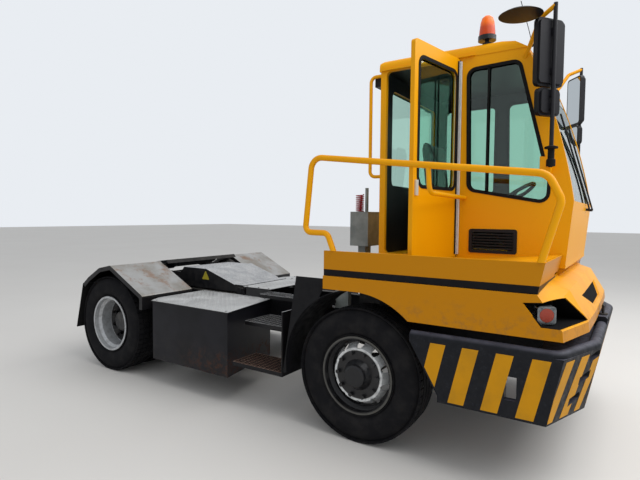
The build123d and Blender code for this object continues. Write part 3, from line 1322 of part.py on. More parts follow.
def main():
    os.makedirs("parts", exist_ok=True)
    for name, out in (("left", 1), ("right", -1)):
        write(f"tyre_front_{name}", tyre(WHEELBASE, out * FRONT_TYRE_Y))
        write(f"rim_front_{name}", front_wheel(out))
        write(f"tyres_rear_{name}", tyre(0, out * REAR_OUTER_Y), tyre(0, out * REAR_INNER_Y))
        write(f"rims_rear_{name}", rear_wheel(out))
        write(f"knuckle_{name}", knuckle(out))
        write(f"side_bodywork_{name}", side_bodywork(out))
    left_arms, *left_heads = mirror_set(1)
    right_arms, *right_heads = mirror_set(-1)
    write("mirror_arms", left_arms, right_arms)
    write("mirrors", *left_heads, *right_heads)
    write("side_boxes", side_box(1), side_box(-1))
    write("front_axle", fused(front_axle(), leaf_spring(1), leaf_spring(-1)))
    write("tie_rod", tie_rod())
    write("rear_axle", rear_axle() + prop_shaft())
    write("chassis_frame", chassis_frame())
    write("front_bumper", front_bumper())
    write("tow_pin", tow_pin())
    write("nose_cowl", nose_cowl())
    write("nose_liner", *nose_liner())
    write("headlamps", headlamp(1), headlamp(-1))
    write("lamp_lenses", lamp_lens(1), lamp_lens(-1))
    write("body_decks", walkway_floor(), left_deck())
    write("body_bearers", *body_bearers())
    write("engine_block", engine())
    write("cab_floor", cab_floor())
    write("cab_right_wall", cab_right_wall())
    write("cab_left_wall", cab_left_wall())
    write("cab_rear_wall", cab_rear_wall())
    write("cab_front_panel", cab_front_panel(), cab_header())
    write("cab_roof", cab_roof())
    write("cab_grille", cab_grille())
    write("cab_glass", windscreen(), *side_glass(), rear_glass())
    write("door_panel", door_panel())
    write("door_fittings", *door_fittings())
    write("door_glass", door_glass())
    write("deck_plates", deck_lid(1), deck_lid(-1), centre_deck())
    write("steps", *steps())
    write("wheel_guards", wheel_guard(1), wheel_guard(-1))
    write("rear_fenders", rear_fender(1), rear_fender(-1))
    write("mud_flaps", mud_flap(1), mud_flap(-1))
    write("lift_boom", lift_boom())
    write("fifth_wheel", fifth_wheel())
    write("lift_barrels", *lift_barrels())
    write("lift_rods", *lift_rods())
    write("hand_rails", *hand_rail(), cab_grab_rail())
    write("beacon", *beacon())
    write("cab_lining", cab_lining())
    write("seat_frame", seat())
    write("seat_cushions", *seat_cushions())
    write("dashboard", dashboard())
    write("steering_wheel", steering_wheel())
    write("wipers", *wipers())
    write("work_lamps", *work_lamps())
    write("tail_lamps", *tail_lamps())
    write("air_unit", *air_unit())
    write("air_hose", air_hose())


if __name__ == "__main__":
    main()
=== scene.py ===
import math

import bmesh
import bpy
from mathutils import Matrix, Vector


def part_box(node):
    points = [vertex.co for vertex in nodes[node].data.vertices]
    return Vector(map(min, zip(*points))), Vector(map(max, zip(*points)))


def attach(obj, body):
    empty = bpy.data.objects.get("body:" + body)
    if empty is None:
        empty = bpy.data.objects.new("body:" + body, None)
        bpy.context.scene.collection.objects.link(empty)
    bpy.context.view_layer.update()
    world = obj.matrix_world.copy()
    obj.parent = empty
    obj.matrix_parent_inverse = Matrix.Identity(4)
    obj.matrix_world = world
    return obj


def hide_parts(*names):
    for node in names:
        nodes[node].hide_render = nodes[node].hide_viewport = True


bl_info = {
    "name": "Terminal tractor",
    "version": (1, 0, 0),
    "blender": (4, 5, 0),
    "location": "View3D > Sidebar > Tractor",
    "description": "Paint, rubber, glass, stripes and fittings of a terminal tractor",
    "category": "Object",
}

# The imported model, and the places that the pieces are set from. Metres, +X forward,
# +Y to the tractor's left, +Z up.
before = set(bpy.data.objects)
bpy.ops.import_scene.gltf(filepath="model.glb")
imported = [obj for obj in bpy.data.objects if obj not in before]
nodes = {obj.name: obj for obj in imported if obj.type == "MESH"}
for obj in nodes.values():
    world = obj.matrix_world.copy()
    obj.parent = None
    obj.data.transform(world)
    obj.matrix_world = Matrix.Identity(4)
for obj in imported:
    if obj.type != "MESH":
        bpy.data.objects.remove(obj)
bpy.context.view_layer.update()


def middle(node):
    """The middle of a CAD node's box."""
    low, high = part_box(node)
    return (low + high) / 2


REAR_AXLE = middle("tyres_rear_left")
FRONT_AXLE = middle("tyre_front_left")
MM = 0.001


def place(x, y, z):
    """A point measured in millimetres from the rear axle's point on the ground."""
    return Vector((REAR_AXLE.x + x * MM, y * MM, z * MM))


# Nodes and sockets

def add(tree, kind, props=None, inputs=None):
    """Add one node: props are its own settings, inputs are numbers, colours or sockets."""
    node = tree.nodes.new(kind)
    for name, value in (props or {}).items():
        setattr(node, name, value)
    for name, value in (inputs or {}).items():
        if isinstance(value, bpy.types.NodeSocket):
            tree.links.new(value, node.inputs[name])
        else:
            node.inputs[name].default_value = value
    return node


def linear(code):
    """An sRGB hex colour as linear RGBA."""
    def channel(part):
        value = int(part, 16) / 255
        return value / 12.92 if value <= 0.04045 else ((value + 0.055) / 1.055) ** 2.4
    code = code.lstrip("#")
    return (channel(code[0:2]), channel(code[2:4]), channel(code[4:6]), 1.0)


def per_metre(millimetres):
    """The texture scale whose features are that size, with coordinates in metres."""
    return 1 / (millimetres * MM)


def new_material(name, **sockets):
    """A material with one Principled shader, whose plain sockets are set by name."""
    material = bpy.data.materials.new(name)
    material.use_nodes = True
    shader = material.node_tree.nodes["Principled BSDF"]
    for key, value in sockets.items():
        shader.inputs[key.replace("_", " ")].default_value = value
    return material, material.node_tree, shader


def position(tree):
    """A point's place in the shared frame, in metres."""
    return add(tree, "ShaderNodeTexCoord").outputs["Object"]


# Map ranges ease in and out, and hold at both ends
EASED = {"interpolation_type": "SMOOTHSTEP"}


def span(value, start, end, low=0.0, high=1.0):
    """A map range's inputs, from start..end to low..high."""
    return {"Value": value, "From Min": start, "From Max": end, "To Min": low, "To Max": high}


def lumps(tree, size_mm, detail=4.0, roughness=0.55):
    """Uneven lumps that many millimetres across, from 0 to 1."""
    inputs = {"Vector": position(tree), "Scale": per_metre(size_mm), "Detail": detail,
              "Roughness": roughness}
    return add(tree, "ShaderNodeTexNoise", None, inputs).outputs["Fac"]


def patches(tree, lump, start, end, low=0.0, high=1.0):
    """How strongly patches cover: lumps (size in mm, detail, roughness) from start..end
    give a cover from low to high."""
    inputs = span(lumps(tree, *lump), start, end, low, high)
    return add(tree, "ShaderNodeMapRange", EASED, inputs).outputs["Result"]


def upward(tree, start=0.35, end=0.95):
    """1 on faces that look up, 0 on the rest."""
    normal = add(tree, "ShaderNodeNewGeometry").outputs["Normal"]
    z = add(tree, "ShaderNodeSeparateXYZ", None, {0: normal}).outputs["Z"]
    return add(tree, "ShaderNodeMapRange", EASED, span(z, start, end)).outputs["Result"]


def along(tree, axis, start, end):
    """From 0 at one place along X, Y or Z to 1 at another, in metres."""
    at = add(tree, "ShaderNodeSeparateXYZ", None, {0: position(tree)}).outputs[axis]
    return add(tree, "ShaderNodeMapRange", EASED, span(at, start, end)).outputs["Result"]


def radius(tree, centre):
    """How far a point lies from a wheel's axis, in metres."""
    off = add(tree, "ShaderNodeVectorMath", {"operation": "SUBTRACT"},
              {0: position(tree), 1: tuple(centre)}).outputs[0]
    flat = add(tree, "ShaderNodeVectorMath", {"operation": "MULTIPLY"}, {0: off, 1: (1, 0, 1)}).outputs[0]
    return add(tree, "ShaderNodeVectorMath", {"operation": "LENGTH"}, {0: flat}).outputs["Value"]


def shared(tree, first, *others):
    """Where all of these covers meet: their product."""
    for other in others:
        first = add(tree, "ShaderNodeMath", {"operation": "MULTIPLY"}, {0: first, 1: other}).outputs[0]
    return first


def coats(tree, colour, *layers):
    """A colour under layers, each a cover and its colour. Colours are hex codes or sockets."""
    for cover, over in layers:
        first, second = (linear(code) if isinstance(code, str) else code for code in (colour, over))
        mix = add(tree, "ShaderNodeMix", {"data_type": "RGBA"}, {0: cover, 6: first, 7: second})
        colour = mix.outputs[2]
    return colour


def feed(tree, shader, **sources):
    """Link sockets to the shader's inputs by name."""
    for key, source in sources.items():
        tree.links.new(source, shader.inputs[key.replace("_", " ")])


def dulled(tree, shader, cover, full, clean, worn):
    """Roughness from clean to worn, as a cover grows from nothing to full."""
    inputs = span(cover, 0.0, full, clean, worn)
    feed(tree, shader, Roughness=add(tree, "ShaderNodeMapRange", EASED, inputs).outputs["Result"])


def relief(tree, shader, heights, rise_mm, strength):
    """Raise the surface by that many millimetres where the heights are 1."""
    inputs = {"Height": heights, "Distance": rise_mm * MM, "Strength": strength}
    feed(tree, shader, Normal=add(tree, "ShaderNodeBump", None, inputs).outputs["Normal"])


def ribs(tree, size_mm):
    """Level ribs, one above another. A wave texture draws 3.18 of them in that many mm."""
    inputs = {"Vector": position(tree), "Scale": per_metre(size_mm), "Distortion": 0.0}
    return add(tree, "ShaderNodeTexWave", {"bands_direction": "Z"}, inputs).outputs["Fac"]


# Materials. A cover's lumps are (size in mm, detail, roughness).

def polyurethane_enamel(name, colour, shade, dirt, film):
    """Two-pack polyurethane enamel, sprayed on sheet steel: an even gloss with a faint
    orange peel, dulled by road dust low down and on level plates. Faces that don't look up
    take the colour film, on the body a darker copy of the enamel: painted shade."""
    material, tree, shader = new_material(name, Roughness=0.4, Specular_IOR_Level=0.16)
    bright = coats(tree, colour, (patches(tree, (420, 3), 0.35, 0.7), shade))
    # Painted shade: faces that don't look up take film, on the body a darker copy of the enamel
    paint = coats(tree, film, (upward(tree, 0.05, 0.45), bright))
    low = shared(tree, along(tree, "Z", 1.25, 0.95), patches(tree, (60, 6, 0.7), 0.45, 0.75))
    flat = shared(tree, upward(tree, 0.7, 0.98), patches(tree, (130, 5), 0.3, 0.75, 0.0, 0.3))
    grime = add(tree, "ShaderNodeMath", {"operation": "MAXIMUM"}, {0: low, 1: flat}).outputs[0]
    # The dirt is uneven over a hand's breadth
    cover = shared(tree, grime, patches(tree, (90, 4), 0.2, 0.8, 0.25, 0.7))
    feed(tree, shader, Base_Color=coats(tree, paint, (cover, dirt)))
    dulled(tree, shader, grime, 1.0, 0.36, 0.65)
    relief(tree, shader, lumps(tree, 3, 2), 0.05, 0.25)
    return material


def chassis_enamel():
    """One-coat black chassis enamel, brushed and sprayed: dull, with dust on what looks
    up and greyish scuffs."""
    material, tree, shader = new_material("chassis_enamel_black", Roughness=0.5, Specular_IOR_Level=0.18)
    dust = shared(tree, upward(tree), patches(tree, (110, 5), 0.25, 0.7, 0.15, 0.6))
    scuff = patches(tree, (35, 7, 0.7), 0.58, 0.72, 0.0, 0.35)
    feed(tree, shader, Base_Color=coats(tree, "#101013", (scuff, "#2C2926"), (dust, "#5A554E")),
         Roughness=patches(tree, (60, 4), 0.3, 0.7, 0.42, 0.68))
    relief(tree, shader, lumps(tree, 5, 3), 0.15, 0.3)
    return material


def locker_enamel():
    """Black enamel on a sheet-steel locker: rusting where stones and boots reach it, low
    down at its front end."""
    material, tree, shader = new_material("locker_enamel_black", Roughness=0.42, Specular_IOR_Level=0.2)
    front = along(tree, "X", REAR_AXLE.x + 1.0, REAR_AXLE.x + 1.65)
    rust = shared(tree, along(tree, "Z", 0.56, 0.33), front, patches(tree, (48, 8, 0.75), 0.46, 0.66))
    dust = shared(tree, along(tree, "Z", 0.62, 0.28), patches(tree, (150, 6, 0.7), 0.4, 0.75, 0.0, 0.4))
    cloud = patches(tree, (260, 4), 0.35, 0.7)
    feed(tree, shader, Base_Color=coats(tree, "#111116", (cloud, "#1A1A20"), (dust, "#3A3531"),
                                        (rust, "#4F3427")))
    dulled(tree, shader, rust, 0.7, 0.38, 0.8)
    relief(tree, shader, lumps(tree, 9, 4), 0.2, 0.3)
    return material


def galvanised_grating():
    """Hot-dip galvanised step bars: pale grey where they are walked, rusty on the lowest
    step. Faces that don't look up are painted near black: painted shade."""
    material, tree, shader = new_material("galvanised_grating", Metallic=0.35, Roughness=0.5)
    zinc = coats(tree, "#8A8A8C", (patches(tree, (35, 5, 0.6), 0.35, 0.7), "#C8C8C6"))
    rust = coats(tree, "#7A5140", (patches(tree, (22, 7, 0.7), 0.35, 0.65), "#8F7A6C"))
    low = along(tree, "Z", 0.56, 0.46)
    worn = coats(tree, zinc, (low, rust))
    # Painted shade: the bars' sides, which don't look up, are painted near black
    feed(tree, shader, Base_Color=coats(tree, "#161517", (upward(tree, 0.4, 0.8), worn)))
    dulled(tree, shader, low, 1.0, 0.42, 0.75)
    return material


def boom_enamel():
    """Black enamel on the boom's plates, its treads walked to bare grey steel."""
    material, tree, shader = new_material("boom_enamel_black", Roughness=0.5, Specular_IOR_Level=0.25)
    walked = coats(tree, "#9C9D9F", (patches(tree, (150, 6, 0.65), 0.35, 0.65), "#B2B2B2"))
    black = coats(tree, "#111114", (patches(tree, (60, 6), 0.4, 0.7), "#211F1F"))
    feed(tree, shader, Base_Color=coats(tree, black, (upward(tree, 0.55, 0.85), walked)),
         Roughness=patches(tree, (60, 4), 0.3, 0.7, 0.38, 0.62))
    relief(tree, shader, lumps(tree, 6, 4), 0.2, 0.3)
    return material


def bumper_enamel():
    """Textured grey-black enamel on thick plate: rubbed bare and dusty along its top."""
    material, tree, shader = new_material("bumper_enamel_grey", Roughness=0.5, Specular_IOR_Level=0.22)
    rub = patches(tree, (28, 8, 0.75), 0.52, 0.72, 0.0, 0.6)
    top = shared(tree, upward(tree), patches(tree, (70, 5), 0.2, 0.7, 0.4, 1.0))
    feed(tree, shader, Base_Color=coats(tree, "#0F1117", (rub, "#2B2E35"), (top, "#4B4B55")),
         Roughness=patches(tree, (40, 5), 0.3, 0.7, 0.42, 0.66))
    relief(tree, shader, lumps(tree, 4, 3), 0.2, 0.35)
    return material


def stripe_enamel():
    """Yellow warning enamel, stencilled on the bumper: chalky, chipped and scratched."""
    material, tree, shader = new_material("stripe_enamel_yellow", Roughness=0.5, Specular_IOR_Level=0.15)
    grey = patches(tree, (160, 4), 0.35, 0.75, 0.0, 0.4)
    worn = patches(tree, (18, 8, 0.75), 0.66, 0.72, 0.0, 0.9)
    feed(tree, shader, Base_Color=coats(tree, "#C98C0A", (grey, "#98701E"), (worn, "#2B2A28")))
    return material


def lamp_plating():
    """Vacuum-plated lamp housing: silver, clouded by road film."""
    material, tree, shader = new_material("lamp_plating_silver", Metallic=0.9, Roughness=0.3)
    film = patches(tree, (30, 6, 0.7), 0.4, 0.7)
    feed(tree, shader, Base_Color=coats(tree, "#8B8F92", (film, "#55585B")))
    dulled(tree, shader, film, 1.0, 0.22, 0.5)
    return material


def worn_steel():
    """Black-painted rolled steel, worn silver on top by boots and trailers, browned by
    rust at the bends, and still black on its rims."""
    material, tree, shader = new_material("rolled_steel_worn", Metallic=0.45, Roughness=0.42)
    rust = patches(tree, (190, 8, 0.7), 0.5, 0.68, 0.0, 0.65)
    scratch = patches(tree, (26, 9, 0.8), 0.62, 0.7, 0.0, 0.6)
    walked = coats(tree, "#A7A6A4", (patches(tree, (300, 5, 0.6), 0.35, 0.65), "#8A847B"),
                   (rust, "#8A6446"), (scratch, "#4B423B"))
    feed(tree, shader, Base_Color=coats(tree, "#1D1C1E", (upward(tree, 0.3, 0.55), walked)))
    dulled(tree, shader, rust, 0.6, 0.34, 0.6)
    relief(tree, shader, lumps(tree, 12, 6), 0.3, 0.4)
    return material


def chequer_steel():
    """Hot-rolled tread plate, painted black and walked bare: bright on its raised bars."""
    material, tree, shader = new_material("tread_plate_steel", Metallic=0.15, Roughness=0.5)
    grime = patches(tree, (45, 7, 0.7), 0.52, 0.7, 0.0, 0.22)
    walked = coats(tree, "#A3A3A2", (patches(tree, (240, 5, 0.6), 0.35, 0.65), "#B9B9B8"),
                   (grime, "#5B5650"))
    feed(tree, shader, Base_Color=coats(tree, "#1E1E20", (upward(tree, 0.2, 0.6), walked)),
         Roughness=patches(tree, (60, 4), 0.3, 0.7, 0.35, 0.6))
    return material


def wheel_enamel(name, centre, rings, dirt, cover):
    """Stove enamel on a pressed steel wheel, with brake dust and road dirt. rings are
    (inner radius in mm, colour) from the hub outwards, with edges 6 mm soft."""
    material, tree, shader = new_material(name, Metallic=0.25, Roughness=0.42)
    away = radius(tree, centre)
    colour = rings[0][1]
    for start, shade in rings[1:]:
        inputs = span(away, (start - 3) * MM, (start + 3) * MM)
        edge = add(tree, "ShaderNodeMapRange", EASED, inputs).outputs["Result"]
        colour = coats(tree, colour, (edge, shade))
    grime = patches(tree, (55, 7, 0.7), 0.42, 0.68, 0.0, cover)
    feed(tree, shader, Base_Color=coats(tree, colour, (grime, dirt)))
    dulled(tree, shader, grime, 0.8, 0.36, 0.7)
    return material


def plain_finish(name, settings, first, second=None, lump=None, cover=None, grain=None):
    """A finish of one colour, or with patches of a second one, smooth or with a grain."""
    material, tree, shader = new_material(name, **settings)
    shader.inputs["Base Color"].default_value = linear(first)
    if lump:
        share = patches(tree, lump, *cover) if cover else lumps(tree, *lump)
        feed(tree, shader, Base_Color=coats(tree, first, (share, second)))
    if grain:
        size_mm, detail, rise_mm, strength = grain
        relief(tree, shader, lumps(tree, size_mm, detail), rise_mm, strength)
    return material


# Name, shader settings, colour, second colour, its lumps, which part of the lumps gives
# which cover, and the grain (size in mm, detail, rise in mm, strength)
PLAIN_FINISHES = [
    # Faded reflective film on a small sign plate: a greenish, uneven yellow
    ("sign_film_yellow", {"Roughness": 0.4, "Specular_IOR_Level": 0.3}, "#B9A92C", "#8F842E", (20, 4)),
    # Matt vinyl film along the body's band: black, greyer in places
    ("stripe_vinyl_black", {"Roughness": 0.42, "Specular_IOR_Level": 0.15}, "#0C0A0E", "#1A181B",
     (80, 5), (0.4, 0.8, 0.0, 0.5)),
    # Carbon-black tyre rubber: matt, with dry road dust on its walls and tread
    ("tyre_rubber", {"Roughness": 0.85, "Specular_IOR_Level": 0.12}, "#131316", "#302E2D",
     (120, 6, 0.6), (0.4, 0.75, 0.05, 0.45), (2.5, 3, 0.2, 0.3)),
    # Forged and cast axle parts in black paint: oily and dusty
    ("cast_steel_black", {"Roughness": 0.6, "Specular_IOR_Level": 0.25}, "#1A1A1B", "#3E3932",
     (50, 6), (0.4, 0.7, 0.0, 0.7), (6, 4, 0.3, 0.5)),
    # Black ABS, moulded with a fine grain: an even low sheen
    ("moulded_abs_black", {"Roughness": 0.48, "Specular_IOR_Level": 0.25}, "#111115", "#1D1D22",
     (90, 4), None, (1.5, 2, 0.08, 0.3)),
    # A near-black sheet behind the nose's openings, flat and very dark: painted shade in the openings
    ("polyethylene_black", {"Roughness": 0.8, "Specular_IOR_Level": 0.08}, "#040405", "#0B0B0C", (80, 4)),
    # Extruded and sheet EPDM rubber: dull black, a little grey with age
    ("epdm_rubber_black", {"Roughness": 0.75, "Specular_IOR_Level": 0.15}, "#0D0D0E", "#1B1A1A", (70, 4)),
    # Toughened float glass with a faint green body tint: clear, with sharp reflections
    ("float_glass", {"Roughness": 0.02, "IOR": 1.5, "Transmission_Weight": 1.0}, "#C6EADB"),
    # Silvered mirror glass: a full, sharp reflection
    ("silvered_mirror", {"Metallic": 1.0, "Roughness": 0.03}, "#C9CFD2"),
    # Hard-chromed and ground bar: bright, with a faint uneven grind
    ("hard_chrome", {"Metallic": 1.0, "Roughness": 0.14}, "#C8CACC", None, None, None, (2, 2, 0.02, 0.2)),
    # Brushed stainless hinge strip: pale and softly clouded
    ("stainless_brushed", {"Metallic": 0.4, "Roughness": 0.36}, "#C9C9C6", "#E4E4E1", (40, 5)),
    # Extruded polyurethane air hose: smooth, red and half glossy
    ("polyurethane_hose_red", {"Roughness": 0.35}, "#B0182A", "#86101C", (30, 4)),
    # Powder coat on a sheet-steel cabinet: grey, with a fine leathery grain
    ("powder_coat_grey", {"Roughness": 0.5}, "#6E7370", "#8A8E8A", (140, 5), (0.3, 0.7), (2, 2, 0.08, 0.4)),
    # Smooth concrete: pale, it keeps the object's shadow and shows nothing else
    ("pale_concrete", {"Roughness": 0.85}, "#CFCBC6", "#D6D3CE", (2500, 3)),
]


def polycarbonate(name, colour):
    """Moulded polycarbonate lens: glossy and coloured all through."""
    material, tree, shader = new_material(name, Roughness=0.12, IOR=1.58, Transmission_Weight=0.25)
    shader.inputs["Base Color"].default_value = linear(colour)
    relief(tree, shader, ribs(tree, 9), 0.6, 0.4)
    return material


# How high the beacon's foot reaches, and from where to where its core grows lighter, in metres
BEACON_FOOT, BEACON_CORE = 3.146, (3.2, 3.25)


def beacon_mouldings():
    """The beacon: a ribbed amber polycarbonate dome over a black ABS foot."""
    material, tree, shader = new_material("beacon_amber_and_black", Roughness=0.22, IOR=1.58,
                                          Specular_IOR_Level=0.3)
    dome = along(tree, "Z", BEACON_FOOT - 0.0005, BEACON_FOOT + 0.0005)
    core = coats(tree, "#C84200", (along(tree, "Z", *BEACON_CORE), "#FA7000"))
    feed(tree, shader, Base_Color=coats(tree, "#141416", (dome, core)))
    relief(tree, shader, ribs(tree, 10), 0.8, 0.5)
    return material


def woven_polyester():
    """Woven polyester seat cover: charcoal and matt. Its threads, 1 mm apart in the cloth,
    are drawn 1.6 mm apart, three to 5 mm, because finer ones don't show at all."""
    material, tree, shader = new_material("woven_polyester_charcoal", Roughness=0.9, Sheen_Weight=0.3)
    across = {"Vector": position(tree), "Scale": per_metre(5)}
    warp = add(tree, "ShaderNodeTexWave", {"bands_direction": "Y"}, across).outputs["Fac"]
    weft = add(tree, "ShaderNodeTexWave", {"bands_direction": "DIAGONAL"}, across).outputs["Fac"]
    weave = shared(tree, warp, weft)
    feed(tree, shader, Base_Color=coats(tree, "#1B1C20", (weave, "#34363C")))
    relief(tree, shader, weave, 0.5, 0.6)
    return material


# Meshes

def from_bmesh(name, bm, material, smooth=False):
    """A mesh object in the shared frame, with one material."""
    mesh = bpy.data.meshes.new(name)
    bm.to_mesh(mesh)
    bm.free()
    mesh.materials.append(material)
    if smooth:
        mesh.polygons.foreach_set("use_smooth", [True] * len(mesh.polygons))
    piece = bpy.data.objects.new(name, mesh)
    bpy.context.collection.objects.link(piece)
    return piece


def fitted(name, bm, finish, body, sharp=None):
    """One piece of closed forms that rides on a body. With an angle in degrees it is shaded
    smooth, apart from edges sharper than that."""
    bmesh.ops.recalc_face_normals(bm, faces=bm.faces)
    piece = from_bmesh(name, bm, library[finish])
    if sharp:
        piece.data.set_sharp_from_angle(angle=math.radians(sharp))
        piece.data.polygons.foreach_set("use_smooth", [True] * len(piece.data.polygons))
    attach(piece, body)
    return piece


def join(bm, first, second):
    """Faces between two closed loops of as many corners."""
    for index in range(len(first)):
        after = (index + 1) % len(first)
        bm.faces.new([first[index], first[after], second[after], second[index]])


def plate(bm, corners, normal, thickness):
    """Add a flat solid plate: its corners' face, and the same face raised along normal."""
    lift = Vector(normal).normalized() * thickness
    low = [bm.verts.new(corner) for corner in corners]
    high = [bm.verts.new(Vector(corner) + lift) for corner in corners]
    bm.faces.new(low[::-1])
    bm.faces.new(high)
    join(bm, low, high)


def cut_by(polygon, start, end):
    """Keep the part of a polygon of (u, v) points to the left of a line."""
    def side_of(point):
        return ((end[0] - start[0]) * (point[1] - start[1])
                - (end[1] - start[1]) * (point[0] - start[0]))
    kept = []
    for index, here in enumerate(polygon):
        before = polygon[index - 1]
        was, now = side_of(before), side_of(here)
        if (was > 0) != (now > 0):
            share = was / (was - now)
            kept.append(tuple(a + (b - a) * share for a, b in zip(before, here)))
        if now > 0:
            kept.append(here)
    return kept


def between(polygon, low, high):
    """Keep the part of a polygon of (u, v) points whose u lies from low to high."""
    return cut_by(cut_by(polygon, (low, 1), (low, 0)), (high, 0), (high, 1))


def rounded(points, radius, steps=5):
    """A closed outline of (u, v) points with its corners rounded."""
    result = []
    count = len(points)
    for index in range(count):
        before = Vector(points[index - 1])
        corner = Vector(points[index])
        after = Vector(points[(index + 1) % count])
        to_before, to_after = (before - corner).normalized(), (after - corner).normalized()
        half = to_before.angle(to_after) / 2
        # A corner takes no more than 45 % of the shorter edge beside it
        longest = 0.45 * min((before - corner).length, (after - corner).length)
        reach = min(radius / math.tan(half), longest)
        fit = reach * math.tan(half)
        centre = corner + (to_before + to_after).normalized() * (fit / math.sin(half))
        start, end = corner + to_before * reach - centre, corner + to_after * reach - centre
        turn = start.angle_signed(end)
        for step in range(steps + 1):
            angle = -turn * step / steps
            c, s = math.cos(angle), math.sin(angle)
            result.append((centre.x + start.x * c - start.y * s, centre.y + start.x * s + start.y * c))
    return result


def loft_rings(bm, rings):
    """Join rings of as many points into a closed skin, the last one to the first."""
    loops = [[bm.verts.new(point) for point in ring] for ring in rings]
    for first, second in zip(loops, loops[1:] + loops[:1]):
        join(bm, first, second)


# Wheels

# A tyre's section, in mm: its radius at the crown, half the width of its tread and of its
# walls, how far the tread falls to its edges, and how deep its grooves, its slots and the
# slots on its shoulders are, which lie outside SHOULDER_RADIUS.
TYRE_RADIUS, TREAD_HALF, WALL_HALF, CROWN = 520, 127, 145, 4
GROOVE_DEPTH, SLOT_DEPTH, SHOULDER_DEPTH, SHOULDER_RADIUS = 13, 11, 7, 470
# A groove's walls lean: each runs from this far inside the groove's edge to this far
# outside it, in mm
GROOVE_DRAFT = 0.7
# How often the tread's pattern repeats, where its edges lie in one repeat, which of those
# edges are in the slot, and how far the pattern runs ahead at the tread's edge
PITCHES, PITCH_SHARES, IN_SLOT, PITCH_SKEW = 56, (0.0, 0.02, 0.13, 0.15, 0.58), (1, 2), 0.12


def tyre_wall():
    """The wall from the bead to the tread's edge: (distance from middle, radius) in mm."""
    points = [(123, 287), (124, 296), (129, 303), (134, 310)]
    # The bulge: an oval round that reaches 53 mm out and 100 mm up and down
    for step in range(9):
        angle = math.radians(-62 + step * 17)
        points.append((WALL_HALF - 53 + 53 * math.cos(angle), 400 + 100 * math.sin(angle)))
    points.append((TREAD_HALF + 3, TYRE_RADIUS - CROWN - 6))
    points.append((TREAD_HALF, TYRE_RADIUS - CROWN))
    return [(min(y, WALL_HALF), r) for y, r in points]


def tyre_mesh(centre, grooves, slots_from):
    """A tyre as one skin: rounded walls, and a tread whose grooves and slots are cut by
    steep steps. grooves are (middle, width) across the tread, and its ribs are slotted from
    slots_from mm out."""
    wall = tyre_wall()
    across = [(-y, r, False) for y, r in wall]
    stations = [1 - TREAD_HALF]
    for groove, width in grooves:
        for edge in (groove - width / 2, groove + width / 2):
            stations += [edge - GROOVE_DRAFT, edge + GROOVE_DRAFT]
    stations.append(TREAD_HALF - 1)
    for y in stations:
        in_groove = any(abs(y - groove) < width / 2 for groove, width in grooves)
        drop = CROWN * (y / TREAD_HALF) ** 2
        across.append((y, TYRE_RADIUS - drop - (GROOVE_DEPTH if in_groove else 0), not in_groove))
    across += [(y, r, False) for y, r in reversed(wall)]
    rings = []
    for pitch in range(PITCHES):
        for index, share in enumerate(PITCH_SHARES):
            ring = []
            for y, r, raised in across:
                skew = PITCH_SKEW * (1 if y > 0 else -1) * (abs(y) / TREAD_HALF)
                angle = math.tau * (pitch + share + skew) / PITCHES
                on_shoulder = not raised and abs(y) > TREAD_HALF and r > SHOULDER_RADIUS
                cut = 0
                if index in IN_SLOT and (on_shoulder or raised and abs(y) >= slots_from):
                    cut = SHOULDER_DEPTH if on_shoulder else SLOT_DEPTH
                ring.append((centre.x + (r - cut) * MM * math.cos(angle), centre.y + y * MM,
                             centre.z + (r - cut) * MM * math.sin(angle)))
            rings.append(ring)
    bm = bmesh.new()
    loft_rings(bm, rings)
    return bm


class TRACTOR_OT_tyres(bpy.types.Operator):
    """Model the six tyres with their grooved treads and rounded walls"""
    bl_idname = "tractor.tyres"
    bl_label = "Tyres"

    def execute(self, context):
        ribbed = [(-78, 11), (-27, 12), (27, 12), (78, 11)]
        blocky = [(-66, 14), (0, 10), (66, 14)]
        # Node, body, middles across in mm, grooves, how far out the slotted ribs start
        table = [
            ("tyre_front_left", "wheel_front_left", (1035,), ribbed, 84),
            ("tyre_front_right", "wheel_front_right", (-1035,), ribbed, 84),
            ("tyres_rear_left", "wheel_rear_left", (737, 1080), blocky, 0),
            ("tyres_rear_right", "wheel_rear_right", (-737, -1080), blocky, 0),
        ]
        for node, body, middles, grooves, slots_from in table:
            for index, y in enumerate(middles):
                centre = middle(node)
                centre.y = y * MM
                skin = tyre_mesh(centre, grooves, slots_from)
                tyre = fitted(f"{node}_tread_{index}", skin, "tyre_rubber", body, 32)
                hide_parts(node)
        return {"FINISHED"}


# Stripes

# Everything here is in mm: x forward of the rear axle, y from the middle line, z up.
# A side bar's rear top corner
SIDE_BARS = (3700, 3914, 4126, 4336)
# A front bar's outer and inner edge at its top, then at its foot
FRONT_BARS = (
    (1211, 1115, 1271, 1190), (1030, 933, 1108, 1012), (850, 760, 935, 868), (692, 586, 744, 640),
    (506, 400, 558, 454), (320, 214, 372, 268), (134, 28, 186, 82),
)
# The bars' foot and top, and how far a side bar leans back for each mm it falls
BARS_LOW, BARS_HIGH, BARS_LEAN = 506, 884, 0.235
# The bumper's side: its distance out, and its rear edge from top to foot
BUMPER_SIDE, BUMPER_REAR = 1250, ((3562, 880), (3768, 533))
# Its front at the top: how far forward in the flat middle and at the corner, where the
# chamfer starts, and how far the front leans back from top to foot
FRONT_FLAT, FRONT_CORNER, CHAMFER_FROM = 4666, 4505, 790
FRONT_TOP, FRONT_FOOT, FRONT_LEAN = 905, 491, 84
# A film keeps this far clear of the chamfer's edges
EDGE_CLEAR = 4
# A slot through the bumper's corner: its middle from the centre line and its height, then
# its corners from that middle
BUMPER_SLOTS = ((856, 868), (920, 741), (984, 615))
SLOT_CORNERS = ((-62, -22), (62, -50), (62, 2), (-62, 30))
# The band's stripe: its foot, its rear and front ends, how far out it lies, how far forward
# the band's front leans for each mm up, and where the stripe ends round each front corner
STRIPE_FOOT, STRIPE_REAR, STRIPE_FRONT, STRIPE_OUT = 1267, 2817, 4344, 1208
BAND_LEAN = 41 / 194
STRIPE_ENDS = {-1: -570, 1: 1150}


